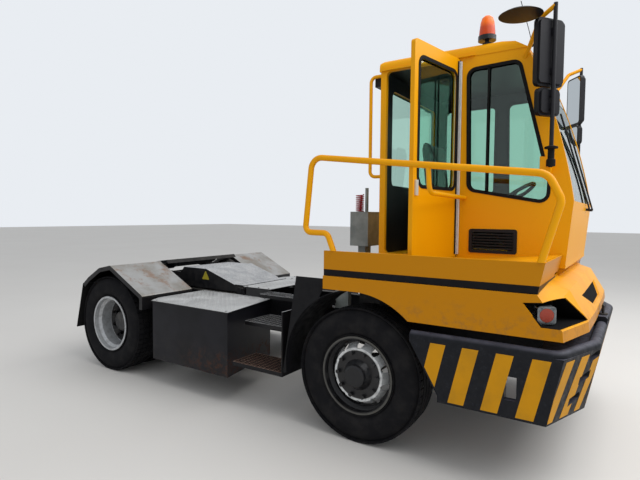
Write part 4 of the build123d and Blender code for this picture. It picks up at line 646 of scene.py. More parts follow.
class TRACTOR_OT_stripes(bpy.types.Operator):
    """Lay the black band stripes on the body and the leaning bars on the bumper"""
    bl_idname = "tractor.stripes"
    bl_label = "Stripes"

    def execute(self, context):
        settings = context.scene.tractor_stripes
        self.band(settings)
        self.bumper(settings)
        return {"FINISHED"}

    def band(self, settings):
        """One stripe low on each side's band, carried round its front corner."""
        bm = bmesh.new()
        height = settings.band_width / MM
        low, high, front = STRIPE_FOOT, STRIPE_FOOT + height, STRIPE_FRONT + height * BAND_LEAN
        for side, inner in STRIPE_ENDS.items():
            y = side * STRIPE_OUT
            corners = [place(STRIPE_REAR, y, low), place(STRIPE_FRONT, y, low), place(front, y, high),
                       place(STRIPE_REAR, y, high)]
            plate(bm, corners, (0, side, 0), settings.film)
            corners = [place(STRIPE_FRONT, y, low), place(STRIPE_FRONT, inner, low),
                       place(front, inner, high), place(front, y, high)]
            plate(bm, corners, (1, 0, -BAND_LEAN), settings.film)
        fitted("band_stripes", bm, "stripe_vinyl_black", "chassis")

    def bumper(self, settings):
        """Yellow bars on the bumper's sides, corners and front."""
        width = settings.bar_width / MM
        lean = BARS_LEAN * (BARS_HIGH - BARS_LOW)
        bm = bmesh.new()
        for side in (-1, 1):
            for rear in SIDE_BARS:
                front = rear + width
                bar = [(rear, BARS_HIGH), (front, BARS_HIGH), (front - lean, BARS_LOW),
                       (rear - lean, BARS_LOW)]
                corners = [place(x, side * BUMPER_SIDE, z) for x, z in cut_by(bar, *BUMPER_REAR)]
                plate(bm, corners, (0, side, 0), settings.film)
            for outer, inner, foot_outer, foot_inner in FRONT_BARS:
                bar = [(outer, BARS_HIGH), (foot_outer, BARS_LOW), (foot_inner, BARS_LOW),
                       (inner, BARS_HIGH)]
                if outer > CHAMFER_FROM:
                    bar = between(bar, CHAMFER_FROM + EDGE_CLEAR, BUMPER_SIDE - EDGE_CLEAR)
                else:
                    bar = between(bar, 0, CHAMFER_FROM - EDGE_CLEAR)
                for piece in self.clear_of_slots(bar):
                    corners = [place(self.front_x(y, z), side * y, z) for y, z in piece]
                    across = (corners[1] - corners[0]).cross(corners[2] - corners[1])
                    plate(bm, corners, across if across.x > 0 else -across, settings.film)
        fitted("bumper_stripes", bm, "stripe_enamel_yellow", "chassis")

    def front_x(self, y, z):
        """The bumper's front surface: flat in the middle, chamfered at its corners."""
        back = FRONT_LEAN * (FRONT_TOP - z) / (FRONT_TOP - FRONT_FOOT)
        out = max(abs(y) - CHAMFER_FROM, 0) / (BUMPER_SIDE - CHAMFER_FROM)
        return FRONT_FLAT - back + (FRONT_CORNER - FRONT_FLAT) * out

    def clear_of_slots(self, bar):
        """A bar's parts round the slots that run through the bumper."""
        pieces = [bar]
        for y, z in BUMPER_SLOTS:
            slot = [(y + dy, z + dz) for dy, dz in SLOT_CORNERS]
            apart = []
            for piece in pieces:
                for index, end in enumerate(slot):
                    apart.append(cut_by(piece, end, slot[index - 1]))
                    piece = cut_by(piece, slot[index - 1], end)
            pieces = [piece for piece in apart if len(piece) > 2]
        return pieces


# Window rubbers

def gasket(bm, outline, radius, offset, width, proud, to_world):
    """A flat rubber frame along a rounded outline of (u, v) mm, standing proud of the wall
    that lies at offset. to_world takes (u, v, distance)."""
    outline = [Vector(point) for point in rounded(outline, radius)]
    centre = sum(outline, Vector((0, 0))) / len(outline)
    rings = []
    for grow, lift in ((width / 2, 0), (width / 2, proud), (-width / 2, proud), (-width / 2, 0)):
        ring = []
        for index, here in enumerate(outline):
            tangent = (outline[(index + 1) % len(outline)] - outline[index - 1]).normalized()
            out = Vector((tangent.y, -tangent.x))
            if out.dot(here - centre) < 0:
                out = -out
            point = here + out * grow
            ring.append(to_world(point.x, point.y, offset + lift))
        rings.append(ring)
    loft_rings(bm, rings)


def turned(x, y, z, pivot, angle):
    """A point in mm from the rear axle, turned about an upright line through pivot."""
    dx, dy = x - pivot[0], y - pivot[1]
    c, s = math.cos(angle), math.sin(angle)
    return place(pivot[0] + dx * c - dy * s, pivot[1] + dx * s + dy * c, z)


# A window's corners in its wall, in mm: (x, z) in the sides and the closed door, (y, z) in
# the rear wall, with the radius of a corner
SIDE_WINDOW = [(3690, 1945), (4274, 1838), (4280, 1990), (4052, 2900), (3670, 2888)]
REAR_QUARTER = [(3010, 1960), (3560, 1960), (3560, 2880), (3010, 2880)]
REAR_WINDOW = [(-290, 2000), (790, 2000), (790, 2860), (-290, 2860)]
DOOR_WINDOW = [(3025, 2010), (3060, 1945), (3570, 1945), (3570, 2868), (3025, 2868)]
WINDOW_CORNER = 60
# Each wall's outer face, and how thick the side walls are, in mm
RIGHT_WALL, LEFT_WALL, REAR_WALL, WALL_DEEP = -450, 950, 2905, 36
# The door's hinge line (x, y) in mm, and how far it stands open at rest
DOOR_HINGE = (3620, -462)
DOOR_ANGLE = math.radians(80)


def on_door(x, y, z):
    """A point of the closed door, swung open with it."""
    return turned(x, y, z, DOOR_HINGE, DOOR_ANGLE)


class TRACTOR_OT_window_rubbers(bpy.types.Operator):
    """Set a rubber frame round the side and door windows, in and out, and round the rear window outside"""
    bl_idname = "tractor.window_rubbers"
    bl_label = "Window rubbers"

    def execute(self, context):
        width, proud, corner = context.scene.tractor_trim.rubber_width / MM, 4, WINDOW_CORNER

        def on_side(u, v, d):
            return place(u, d, v)

        bm = bmesh.new()
        for y, side, outlines in ((RIGHT_WALL, -1, [SIDE_WINDOW]),
                                  (LEFT_WALL, 1, [SIDE_WINDOW, REAR_QUARTER])):
            for outline in outlines:
                gasket(bm, outline, corner, y, width, side * proud, on_side)
                gasket(bm, outline, corner, y - side * WALL_DEEP, width, -side * proud, on_side)
        gasket(bm, REAR_WINDOW, corner, REAR_WALL, width, -proud, lambda u, v, d: place(d, u, v))
        # The sliding pane's upright bar, outside and inside
        for face in (-454, -410):
            bar = [(3822, 1926), (3838, 1923), (3838, 2890), (3822, 2890)]
            plate(bm, [place(x, face, z) for x, z in bar], (0, 1, 0), 0.004)
        fitted("window_rubbers", bm, "epdm_rubber_black", "chassis")

        bm = bmesh.new()
        for y, lift in ((-450, -proud), (-416, proud)):
            gasket(bm, DOOR_WINDOW, corner, y, width, lift, lambda u, v, d: on_door(u, d, v))
        fitted("door_rubber", bm, "epdm_rubber_black", "door")
        return {"FINISHED"}


# Tread plate

def inside(outline, x, y):
    """Whether a point lies in a closed outline of (x, y) points."""
    hits = False
    for index, (x1, y1) in enumerate(outline):
        x0, y0 = outline[index - 1]
        if (y0 > y) != (y1 > y) and x < x0 + (x1 - x0) * (y - y0) / (y1 - y0):
            hits = not hits
    return hits


def level(surface, x):
    """The height of a surface given as (x, z) points, at a distance along it."""
    for (x0, z0), (x1, z1) in zip(surface, surface[1:]):
        if x <= x1:
            return z0 + (z1 - z0) * (x - x0) / (x1 - x0)
    return surface[-1][1]


def chequer(bm, outline, surface, pitch, bar_length, bar_width):
    """Raise the low bars of tread plate, each turned against its neighbours."""
    low_x, high_x = min(p[0] for p in outline), max(p[0] for p in outline)
    low_y, high_y = min(p[1] for p in outline), max(p[1] for p in outline)
    # A bar's corners as shares of its half length and half width, with their rise in mm
    shape = ((-1, 0, -0.3), (0, -1, -0.3), (1, 0, -0.3), (0, 1, -0.3), (-0.5, 0, 1.7), (0.5, 0, 1.7))
    faces = ((0, 1, 4), (1, 5, 4), (1, 2, 5), (2, 3, 5), (3, 4, 5), (3, 0, 4))
    # A bar stands only where this much round its middle lies inside the outline
    reach = bar_length * 0.6
    around = [(dx, dy) for dx in (-reach, reach) for dy in (-reach, reach)]
    for row in range(int((high_x - low_x) / pitch)):
        for column in range(int((high_y - low_y) / pitch)):
            x, y = low_x + (row + 0.5) * pitch, low_y + (column + 0.5) * pitch
            if not all(inside(outline, x + dx, y + dy) for dx, dy in around):
                continue
            turn = math.radians(45 if (row + column) % 2 else -45)
            c, s = math.cos(turn), math.sin(turn)
            corners = []
            for along_bar, over_bar, rise in shape:
                u, v = along_bar * bar_length / 2, over_bar * bar_width / 2
                px = x + u * c - v * s
                corners.append(bm.verts.new(place(px, y + u * s + v * c, level(surface, px) + rise)))
            for face in faces:
                bm.faces.new([corners[index] for index in face])


class TRACTOR_OT_tread_plate(bpy.types.Operator):
    """Raise the chequer bars of the decks, the boom and the walkway"""
    bl_idname = "tractor.tread_plate"
    bl_label = "Tread plate"

    def execute(self, context):
        settings = context.scene.tractor_trim
        sizes = [size / MM for size in (settings.tread_pitch, settings.tread_bar, settings.tread_bar_width)]
        lid = [(654, 440), (1640, 440), (1790, 1212), (740, 1212), (662, 1060)]
        other_lid = [(x, -y) for x, y in lid]

        def block(x0, x1, y0, y1):
            return [(x0, y0), (x1, y0), (x1, y1), (x0, y1)]

        # Name, body, finish, outline of (x, y), surface of (x, z), in mm
        table = [
            ("tread_lid_left", "chassis", "tread_plate_steel", lid, [(654, 854), (1810, 854)]),
            ("tread_lid_right", "chassis", "tread_plate_steel", other_lid, [(654, 854), (1810, 854)]),
            ("tread_centre_deck", "chassis", "tread_plate_steel", block(1262, 1638, -428, 428),
             [(1260, 950), (1640, 950)]),
            ("tread_boom_level", "boom", "boom_enamel_black", block(1098, 1228, -374, 374),
             [(1094, 950), (1230, 950)]),
            ("tread_boom_ramp", "boom", "boom_enamel_black", block(644, 1092, -392, 392),
             [(640, 1100), (1097, 951)]),
            ("tread_boom_crest", "boom", "boom_enamel_black", block(254, 638, -374, 374),
             [(252, 1094), (641, 1094)]),
            ("tread_walkway", "chassis", "cab_enamel", block(2820, 3636, -1174, -454),
             [(2815, 1300), (3640, 1300)]),
        ]
        for name, body, finish, outline, surface in table:
            bm = bmesh.new()
            chequer(bm, outline, surface, *sizes)
            fitted(name, bm, finish, body)
        return {"FINISHED"}


# Mirrors and small fittings

# A mirror pole's place along the tractor, each pole's place across it, and how far its
# heads turn outwards. Millimetres and degrees.
POLE_X, POLE_Y, MIRROR_TURN = 4310, {-1: -620, 1: 1120}, 36


class TRACTOR_OT_mirror_glass(bpy.types.Operator):
    """Set the silvered glass in the four mirror heads"""
    bl_idname = "tractor.mirror_glass"
    bl_label = "Mirror glass"

    def execute(self, context):
        bm = bmesh.new()
        # The face's distance along the tractor before the head is turned
        x = POLE_X - 70
        for side, pole_y in POLE_Y.items():
            pole, turn = (POLE_X, pole_y), math.radians(side * MIRROR_TURN)
            facing = turned(x - 1, 0, 0, pole, turn) - turned(x, 0, 0, pole, turn)
            for half, low, high in ((104, 2654, 3091), (84, 2454, 2616)):
                face = rounded([(pole_y - half, low), (pole_y + half, low), (pole_y + half, high),
                                (pole_y - half, high)], 26)
                plate(bm, [turned(x, y, z, pole, turn) for y, z in face], facing, 0.0012)
        fitted("mirror_glass", bm, "silvered_mirror", "chassis")
        return {"FINISHED"}


def tube(name, points, diameter, material, body):
    """A round bar or hose along a smooth path of points, with closed ends."""
    curve = bpy.data.curves.new(name, "CURVE")
    curve.dimensions = "3D"
    spline = curve.splines.new("NURBS")
    spline.points.add(len(points) - 1)
    for point, at in zip(spline.points, points):
        point.co = (*at, 1)
    spline.order_u = 3
    spline.use_endpoint_u = True
    curve.bevel_depth = diameter / 2
    curve.bevel_resolution = 3
    curve.use_fill_caps = True
    piece = bpy.data.objects.new(name, curve)
    bpy.context.collection.objects.link(piece)
    curve.materials.append(library[material])
    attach(piece, body)
    return piece


def lathe(bm, centre, axis, profile, count=20):
    """A turned form: (radius, height) points in mm round an axis through centre."""
    axis = Vector(axis).normalized()
    side = axis.orthogonal().normalized()
    other = axis.cross(side)
    rings = []
    for r, rise in profile:
        ring = []
        for step in range(count):
            angle = math.tau * step / count
            out = side * math.cos(angle) + other * math.sin(angle)
            ring.append(bm.verts.new(centre + (out * r + axis * rise) * MM))
        rings.append(ring)
    for first, second in zip(rings, rings[1:]):
        join(bm, first, second)
    bm.faces.new(rings[0][::-1])
    bm.faces.new(rings[-1])


def hexagon_head(bm, centre, axis, across, rise):
    """A bolt's head on its washer: its width over the flats and its height, in mm."""
    lathe(bm, centre, axis, [(across * 0.78, 0), (across * 0.78, 1.5)], 18)
    lathe(bm, centre, axis, [(across * 0.57, 1.5), (across * 0.57, rise * 0.86), (across * 0.5, rise)], 6)


class TRACTOR_OT_fittings(bpy.types.Operator):
    """Add the aerial, the mirror brackets, the blank sign, the step bars, the hinge's rubber
    lip and the bolts"""
    bl_idname = "tractor.fittings"
    bl_label = "Small fittings"

    def execute(self, context):
        self.aerial()
        self.bracket()
        self.sign()
        self.step_bars()
        self.hinge_seal()
        self.bolts()
        return {"FINISHED"}

    def aerial(self):
        """A whip aerial on the cab's front corner."""
        tube("aerial_whip", [place(4138, -478, 2994), place(4128, -500, 3060), place(4104, -540, 3160),
                             place(4076, -585, 3278)], 0.005, "moulded_abs_black", "chassis")
        bm = bmesh.new()
        lathe(bm, place(4138, -462, 2988), (0.1, -0.9, 0.3), [(13, 0), (13, 10), (7, 22), (4, 30)])
        fitted("aerial_foot", bm, "moulded_abs_black", "chassis", 35)

    def bracket(self):
        """The bolted plates and rubber collars that hold the mirror poles."""
        plates, collars = bmesh.new(), bmesh.new()
        collar = [(30, 0), (30, 44), (22, 52), (22, 118), (44, 122), (44, 134), (20, 142)]
        for side, wall in ((-1, RIGHT_WALL), (1, LEFT_WALL)):
            corners = [(4212, 2062), (4300, 2046), (4300, 2168), (4212, 2178)]
            plate(plates, [place(x, wall, z) for x, z in corners], (0, side, 0), 0.006)
            lathe(collars, place(POLE_X, POLE_Y[side], 2086), (0, 0, 1), collar, 24)
            for x, z in ((4226, 2076), (4286, 2066), (4226, 2162), (4286, 2152)):
                hexagon_head(plates, place(x, wall + side * 6, z), (0, side, 0), 13, 7)
        fitted("mirror_brackets", plates, "cab_enamel", "chassis", 35)
        fitted("mirror_collars", collars, "epdm_rubber_black", "chassis", 35)

    def sign(self):
        """A blank yellow triangle on the boom's right plate."""
        bm = bmesh.new()
        corners = rounded([(559, 968), (684, 968), (620, 1073)], 9)
        plate(bm, [place(x, -376, z) for x, z in corners], (0, -1, 0), 0.0008)
        fitted("boom_sign_blank", bm, "sign_film_yellow", "boom")

    def step_bars(self):
        """Serrated bars between the ones that carry the steps and the catwalk: a web with a
        row of teeth on it."""
        bm = bmesh.new()
        # Rear and front end, right and left edge, top, in mm, and how many bays the frame has
        table = ((1850, 2400, -1199, -886, 420, 11), (1810, 2400, -994, -646, 745, 11),
                 (1660, 2450, -614, -436, 930, 15))
        for x0, x1, y0, y1, top, bays in table:
            teeth = int((y1 - y0) / 24)
            for bay in range(bays):
                x = x0 + (x1 - x0) * (bay + 0.5) / bays
                # Middle and half length across, foot, and rise in metres
                rows = [(y0 + (y1 - y0) * (tooth + 0.5) / teeth, 6, top - 7, 0.007)
                        for tooth in range(teeth)]
                rows.append(((y0 + y1) / 2, (y1 - y0) / 2, top - 26, 0.0192))
                for y, half, z, rise in rows:
                    corners = [place(x - 3, y - half, z), place(x + 3, y - half, z),
                               place(x + 3, y + half, z), place(x - 3, y + half, z)]
                    plate(bm, corners, (0, 0, 1), rise)
        fitted("step_bars", bm, "galvanised_grating", "chassis")

    def hinge_seal(self):
        """The rubber lip along the door's hinge, in two strips."""
        bm = bmesh.new()
        outward = (math.sin(DOOR_ANGLE), -math.cos(DOOR_ANGLE), 0)
        for rear, front in ((3576, 3598), (3612, 3616)):
            strip = ((rear, 1430), (front, 1430), (front, 2956), (rear, 2956))
            plate(bm, [on_door(x, -454, z) for x, z in strip], outward, 0.001)
        fitted("hinge_seal", bm, "epdm_rubber_black", "door")

    def bolts(self):
        """Hexagon heads on the centre deck and the boxes' lids."""
        bm = bmesh.new()
        for side in (-1, 1):
            for x in (1300, 1460, 1600):
                hexagon_head(bm, place(x, side * 405, 950), (0, 0, 1), 14, 6)
            for x, y in ((676, 470), (1600, 470), (1744, 1180), (770, 1180)):
                hexagon_head(bm, place(x, side * y, 854), (0, 0, 1), 14, 5)
        fitted("deck_bolts", bm, "galvanised_grating", "chassis", 35)


# Hose

class TRACTOR_OT_hose(bpy.types.Operator):
    """Hang the coiled air hose behind the cab"""
    bl_idname = "tractor.hose"
    bl_label = "Air hose"

    def execute(self, context):
        low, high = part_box("air_hose")
        centre = (low + high) / 2
        diameter = 0.012
        # The coil keeps 1 mm inside the box of the hose that it replaces
        coil_r = (high.x - low.x) / 2 - diameter / 2 - 0.001
        turns, per_turn = 18, 12
        points = []
        for step in range(turns * per_turn + 1):
            share = step / (turns * per_turn)
            angle = math.tau * step / per_turn
            points.append(Vector((centre.x + coil_r * math.cos(angle), centre.y + coil_r * math.sin(angle),
                                  high.z - diameter * 0.6 - share * (high.z - low.z - diameter * 1.2))))
        hose = tube("air_hose_coil", points, diameter, "polyurethane_hose_red", "chassis")
        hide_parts("air_hose")
        # The smooth curve through the points is 2 % shorter than the coil that they lie on
        return {"FINISHED"}


# Seat

# The cloth's air pressure and for how many frames it blows the pad up
PAD_PRESSURE, PAD_FRAMES = 4, 20
# How far a pad's long edges and its side edges are drawn in, as a share of its half size
PAD_DRAW_IN, PAD_NARROWING = 0.06, 0.04
# Two sewn channels: how far each lies from the pad's middle, its half width and its depth,
# in metres
SEAM_OUT, SEAM_HALF, SEAM_DEPTH = 0.14, 0.007, 0.006


def swell(piece, voxel, cap):
    """Blow a pad up as cloth: remesh it, put it under pressure and let no point move
    further than cap metres."""
    remesh = piece.modifiers.new("voxels", "REMESH")
    remesh.mode = "VOXEL"
    remesh.voxel_size = voxel
    applied(piece)
    start = [vert.co.copy() for vert in piece.data.vertices]
    cloth = piece.modifiers.new("cloth", "CLOTH")
    cloth.settings.use_pressure = True
    cloth.settings.uniform_pressure_force = PAD_PRESSURE
    cloth.settings.effector_weights.gravity = 0
    for frame_number in range(1, PAD_FRAMES + 1):
        bpy.context.scene.frame_set(frame_number)
    applied(piece)
    for vert, was in zip(piece.data.vertices, start):
        moved = vert.co - was
        if moved.length > cap:
            vert.co = was + moved.normalized() * cap
    bpy.context.scene.frame_set(1)


def applied(piece):
    """Put what the modifiers made into the piece's own mesh."""
    finish = piece.data.materials[0]
    graph = bpy.context.evaluated_depsgraph_get()
    mesh = bpy.data.meshes.new_from_object(piece.evaluated_get(graph))
    piece.modifiers.clear()
    piece.data = mesh
    mesh.materials.clear()
    mesh.materials.append(finish)
    mesh.polygons.foreach_set("use_smooth", [True] * len(mesh.polygons))


class TRACTOR_OT_seat(bpy.types.Operator):
    """Pad the driver's seat and its back"""
    bl_idname = "tractor.seat"
    bl_label = "Seat cushions"

    def execute(self, context):
        trim = context.scene.tractor_trim
        # Name, corners of the pad's side as (x, z), its sides across, voxel size, all in mm
        table = [
            ("seat_cushion_pad", [(3203, 1716), (3586, 1716), (3586, 1812), (3203, 1796)], (36, 504), 6),
            ("seat_back_pad", [(3158, 1846), (3216, 1846), (3154, 2442), (3094, 2434)], (46, 494), 7),
        ]
        for name, side, across, voxel in table:
            pad = self.pad(name, side, across)
            swell(pad, voxel * MM, trim.swell)
            self.channels(pad, across)
            rounder = pad.modifiers.new("round", "SUBSURF")
            rounder.levels = rounder.render_levels = 1
            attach(pad, "chassis")
            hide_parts("seat_cushions")
        return {"FINISHED"}

    def pad(self, name, side, across):
        """The pad's cut shape: a block between two faces, its edges drawn in."""
        bm = bmesh.new()
        bmesh.ops.create_cube(bm, size=2)
        bmesh.ops.subdivide_edges(bm, edges=bm.edges, cuts=15, use_grid_fill=True)
        low_rear, low_front, high_front, high_rear = (Vector(point) for point in side)
        middle_y, half_y = (across[0] + across[1]) / 2, (across[1] - across[0]) / 2
        for vert in bm.verts:
            u, v, w = vert.co
            pull = 1 - PAD_DRAW_IN * (u * w) ** 2
            share_u, share_w = (u * pull + 1) / 2, (w * pull + 1) / 2
            foot = low_rear.lerp(low_front, share_u)
            top = high_rear.lerp(high_front, share_u)
            point = foot.lerp(top, share_w)
            out = v * half_y * (1 - PAD_NARROWING * (u * w) ** 2)
            vert.co = place(point.x, middle_y + out, point.y)
        return from_bmesh(name, bm, library["woven_polyester_charcoal"], smooth=True)

    def channels(self, pad, across):
        """Press two sewn channels along the pad."""
        middle_y = (across[0] + across[1]) / 2 * MM
        for vert in pad.data.vertices:
            for seam in (-SEAM_OUT, SEAM_OUT):
                near = math.exp(-((vert.co.y - middle_y - seam) / SEAM_HALF) ** 2)
                vert.co -= vert.normal * SEAM_DEPTH * near


# Paint

FINISHES = {
    "body_enamel": ["nose_cowl", "side_bodywork_left", "side_bodywork_right", "body_decks"],
    "cab_enamel": ["cab_floor", "cab_right_wall", "cab_left_wall", "cab_rear_wall", "cab_front_panel",
                   "cab_roof", "door_panel", "hand_rails", "mirror_arms"],
    "chassis_enamel_black": ["chassis_frame", "body_bearers", "wheel_guards", "fifth_wheel", "lift_barrels"],
    "locker_enamel_black": ["side_boxes"],
    "boom_enamel_black": ["lift_boom"],
    "galvanised_grating": ["steps"],
    "cast_steel_black": ["knuckle_left", "knuckle_right", "tie_rod", "front_axle", "rear_axle",
                         "engine_block", "tow_pin"],
    "bumper_enamel_grey": ["front_bumper"],
    "wheel_enamel_front": ["rim_front_left", "rim_front_right"],
    "wheel_enamel_rear": ["rims_rear_left", "rims_rear_right"],
    "rolled_steel_worn": ["rear_fenders"],
    "tread_plate_steel": ["deck_plates"],
    "epdm_rubber_black": ["mud_flaps"],
    "moulded_abs_black": ["cab_grille", "mirrors", "dashboard", "steering_wheel", "wipers", "seat_frame",
                          "work_lamps", "cab_lining"],
    "polyethylene_black": ["nose_liner"],
    "float_glass": ["cab_glass", "door_glass"],
    "stainless_brushed": ["door_fittings"],
    "hard_chrome": ["lift_rods"],
    "lamp_plating_silver": ["headlamps"],
    "beacon_amber_and_black": ["beacon"],
    "lens_orange": ["lamp_lenses"],
    "lens_red": ["tail_lamps"],
    "powder_coat_grey": ["air_unit"],
}


class TRACTOR_OT_paint(bpy.types.Operator):
    """Give each CAD piece its finish"""
    bl_idname = "tractor.paint"
    bl_label = "Paint"

    def execute(self, context):
        for finish, names in FINISHES.items():
            for name in names:
                slots = nodes[name].material_slots
                for slot in slots:
                    slot.material = library[finish]
        return {"FINISHED"}


# Stage

class TRACTOR_OT_stage(bpy.types.Operator):
    """Set the floor, the soft studio light and the camera"""
    bl_idname = "tractor.stage"
    bl_label = "Stage"

    def execute(self, context):
        settings = context.scene.tractor_stage
        scene = context.scene
        scene.view_settings.view_transform = "Standard"
        # Half the floor's width, in metres
        size = 60
        bm = bmesh.new()
        corners = ((-size, -size, 0), (size, -size, 0), (size, size, 0), (-size, size, 0))
        bm.faces.new([bm.verts.new(corner) for corner in corners])
        from_bmesh("floor", bm, library["pale_concrete"])
        self.light(scene, settings)
        self.camera(scene, settings)
        return {"FINISHED"}

    def light(self, scene, settings):
        """An overcast sky: a pale world, and one wide soft lamp high in front."""
        world = bpy.data.worlds.new("overcast")
        scene.world = world
        world.use_nodes = True
        tree = world.node_tree
        back = tree.nodes["Background"]
        back.inputs["Color"].default_value = linear("#E9EDF2")
        seen = add(tree, "ShaderNodeLightPath").outputs["Is Camera Ray"]
        strength = add(tree, "ShaderNodeMapRange", EASED, span(seen, 0.0, 1.0, settings.sky, 1.0))
        tree.links.new(strength.outputs["Result"], back.inputs["Strength"])
        lamp = bpy.data.lights.new("sky_panel", "AREA")
        lamp.shape = "RECTANGLE"
        lamp.size, lamp.size_y = 9, 7
        lamp.energy = settings.lamp
        holder = bpy.data.objects.new("sky_panel", lamp)
        # Metres: the lamp stands high in front, and is turned to a point in the tractor's middle
        holder.location = (5.0, 0.5, 7.3)
        aim = Vector((0, 0, 1)) - holder.location
        holder.rotation_euler = aim.to_track_quat("-Z", "Y").to_euler()
        bpy.context.collection.objects.link(holder)

    def camera(self, scene, settings):
        """The photographer's place, a little below the cab window's sill."""
        lens = bpy.data.cameras.new("camera")
        lens.sensor_width = 36
        lens.lens = settings.lens
        lens.clip_end = 300
        camera = bpy.data.objects.new("camera", lens)
        aim = Matrix.Rotation(settings.yaw - math.pi / 2, 3, "Z") @ Matrix.Rotation(
            math.pi / 2 + settings.pitch, 3, "X") @ Matrix.Rotation(settings.roll, 3, "Z")
        camera.matrix_world = Matrix.Translation(settings.place) @ aim.to_4x4()
        bpy.context.collection.objects.link(camera)
        scene.camera = camera


class StageSettings(bpy.types.PropertyGroup):
    """The camera's place and the light's level"""
    place: bpy.props.FloatVectorProperty(name="Place", description="Where the camera stands",
                                         default=(2.856, -4.314, 1.732), subtype="TRANSLATION",
                                         unit="LENGTH")
    yaw: bpy.props.FloatProperty(name="Yaw", description="The camera's heading, from +X towards +Y",
                                 default=math.radians(123.56), subtype="ANGLE")
    pitch: bpy.props.FloatProperty(name="Pitch", description="The camera's tilt above level",
                                   default=math.radians(-2.95), subtype="ANGLE")
    roll: bpy.props.FloatProperty(name="Roll", description="The camera's roll", default=math.radians(0.48),
                                  subtype="ANGLE")
    lens: bpy.props.FloatProperty(name="Lens", description="Focal length in mm on a 36 mm sensor",
                                  default=27.05)
    sky: bpy.props.FloatProperty(name="Sky", description="How strongly the sky lights the tractor",
                                 default=0.84)
    lamp: bpy.props.FloatProperty(name="Lamp", description="The sky panel's power in watts", default=620)


class StripeSettings(bpy.types.PropertyGroup):
    """Sizes of the stripes"""
    band_width: bpy.props.FloatProperty(name="Band width", description="Height of the black stripe",
                                        default=0.05, subtype="DISTANCE")
    bar_width: bpy.props.FloatProperty(name="Bar width", description="Width of a bumper bar", default=0.104,
                                       subtype="DISTANCE")
    film: bpy.props.FloatProperty(name="Film", description="How thick the paint or film is", default=0.001,
                                  subtype="DISTANCE")


class TrimSettings(bpy.types.PropertyGroup):
    """Sizes of the rubber trim, the tread plate and the cushions"""
    rubber_width: bpy.props.FloatProperty(name="Rubber width", default=0.026, subtype="DISTANCE",
                                          description="Width of a window's rubber frame")
    tread_pitch: bpy.props.FloatProperty(name="Tread pitch", description="From one raised bar to the next",
                                         default=0.03, subtype="DISTANCE")
    tread_bar: bpy.props.FloatProperty(name="Tread bar", description="Length of a raised bar", default=0.025,
                                       subtype="DISTANCE")
    tread_bar_width: bpy.props.FloatProperty(name="Tread bar width", description="Width of a raised bar",
                                             default=0.009, subtype="DISTANCE")
    swell: bpy.props.FloatProperty(name="Cushion swell", description="How far the cloth may move out",
                                   default=0.025, subtype="DISTANCE")


class PaintSettings(bpy.types.PropertyGroup):
    """The body's colours"""
    body: bpy.props.StringProperty(name="Body", description="Body enamel as sRGB hex", default="#E8A000")
    body_shade: bpy.props.StringProperty(name="Body shade", description="The enamel where it is duller",
                                         # A darker copy of the enamel for the body's upright faces: painted
                                         # shade
                                         default="#DC9200")
    body_upright_shade: bpy.props.StringProperty(name="Upright shade", description="The enamel low on the body's sides",
                                        default="#BE7C00")
    dirt: bpy.props.StringProperty(name="Dirt", description="Road dirt as sRGB hex", default="#5E5242")


class TRACTOR_PT_panel(bpy.types.Panel):
    """The tractor's sizes, colours and pieces"""
    bl_label = "Terminal tractor"
    bl_idname = "TRACTOR_PT_panel"
    bl_space_type = "VIEW_3D"
    bl_region_type = "UI"
    bl_category = "Tractor"

    def draw(self, context):
        layout = self.layout
        for group in ("tractor_paint", "tractor_stripes", "tractor_trim", "tractor_stage"):
            box = layout.box()
            settings = getattr(context.scene, group)
            for name in settings.__annotations__:
                box.prop(settings, name)
        for operator in OPERATORS:
            layout.operator(operator.bl_idname)


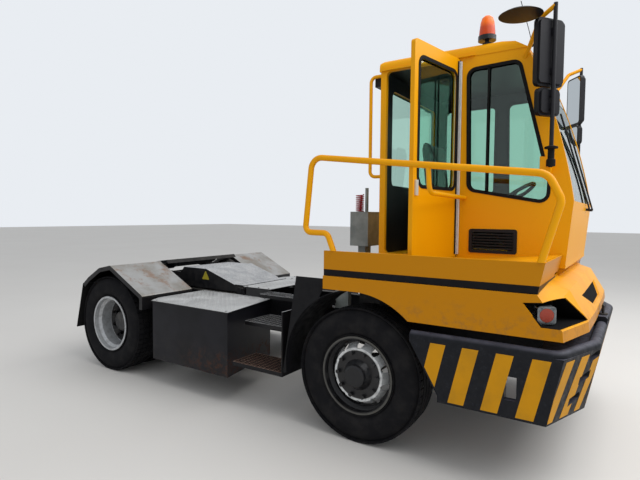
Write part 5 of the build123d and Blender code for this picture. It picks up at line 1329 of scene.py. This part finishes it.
GROUPS = {
    "tractor_stage": StageSettings,
    "tractor_stripes": StripeSettings,
    "tractor_trim": TrimSettings,
    "tractor_paint": PaintSettings,
}
OPERATORS = [
    TRACTOR_OT_stage,
    TRACTOR_OT_hose,
    TRACTOR_OT_paint,
    TRACTOR_OT_tyres,
    TRACTOR_OT_stripes,
    TRACTOR_OT_window_rubbers,
    TRACTOR_OT_tread_plate,
    TRACTOR_OT_mirror_glass,
    TRACTOR_OT_fittings,
    TRACTOR_OT_seat,
]
library = {}


def make_materials(paint):
    """Every material, under its own name."""
    # The body's upright faces take a darker copy of the enamel as painted shade; the cab's keep the enamel
    library["cab_enamel"] = polyurethane_enamel("cab_enamel_yellow", paint.body, paint.body_shade,
                                                paint.dirt, paint.body)
    library["body_enamel"] = polyurethane_enamel("body_enamel_yellow", paint.body, paint.body_shade,
                                                 paint.dirt, paint.body_upright_shade)
    front = [(0, "#17181B"), (112, "#202022"), (186, "#D6D8D8"), (236, "#141417"), (284, "#4C4B47")]
    library["wheel_enamel_front"] = wheel_enamel("wheel_enamel_front", FRONT_AXLE, front, "#24211F", 0.35)
    rear = [(0, "#2A2A2C"), (245, "#B4B6B8")]
    library["wheel_enamel_rear"] = wheel_enamel("wheel_enamel_rear", REAR_AXLE, rear, "#6B6762", 0.45)
    library["lens_orange"] = polycarbonate("lens_orange", "#B23A1C")
    library["lens_red"] = polycarbonate("lens_red", "#8E1410")
    for row in PLAIN_FINISHES:
        library[row[0]] = plain_finish(*row)
    for make in (chassis_enamel, locker_enamel, boom_enamel, galvanised_grating, beacon_mouldings,
                 bumper_enamel, stripe_enamel, lamp_plating, worn_steel, chequer_steel, woven_polyester):
        material = make()
        library[material.name] = material


def register():
    for group in GROUPS.values():
        bpy.utils.register_class(group)
    for name, group in GROUPS.items():
        setattr(bpy.types.Scene, name, bpy.props.PointerProperty(type=group))
    for operator in OPERATORS:
        bpy.utils.register_class(operator)
    bpy.utils.register_class(TRACTOR_PT_panel)


def unregister():
    bpy.utils.unregister_class(TRACTOR_PT_panel)
    for operator in reversed(OPERATORS):
        bpy.utils.unregister_class(operator)
    for name in GROUPS:
        delattr(bpy.types.Scene, name)
    for group in reversed(list(GROUPS.values())):
        bpy.utils.unregister_class(group)


def main():
    register()
    make_materials(bpy.context.scene.tractor_paint)
    for operator in OPERATORS:
        group, name = operator.bl_idname.split(".")
        getattr(getattr(bpy.ops, group), name)()


if __name__ == "__main__":
    main()
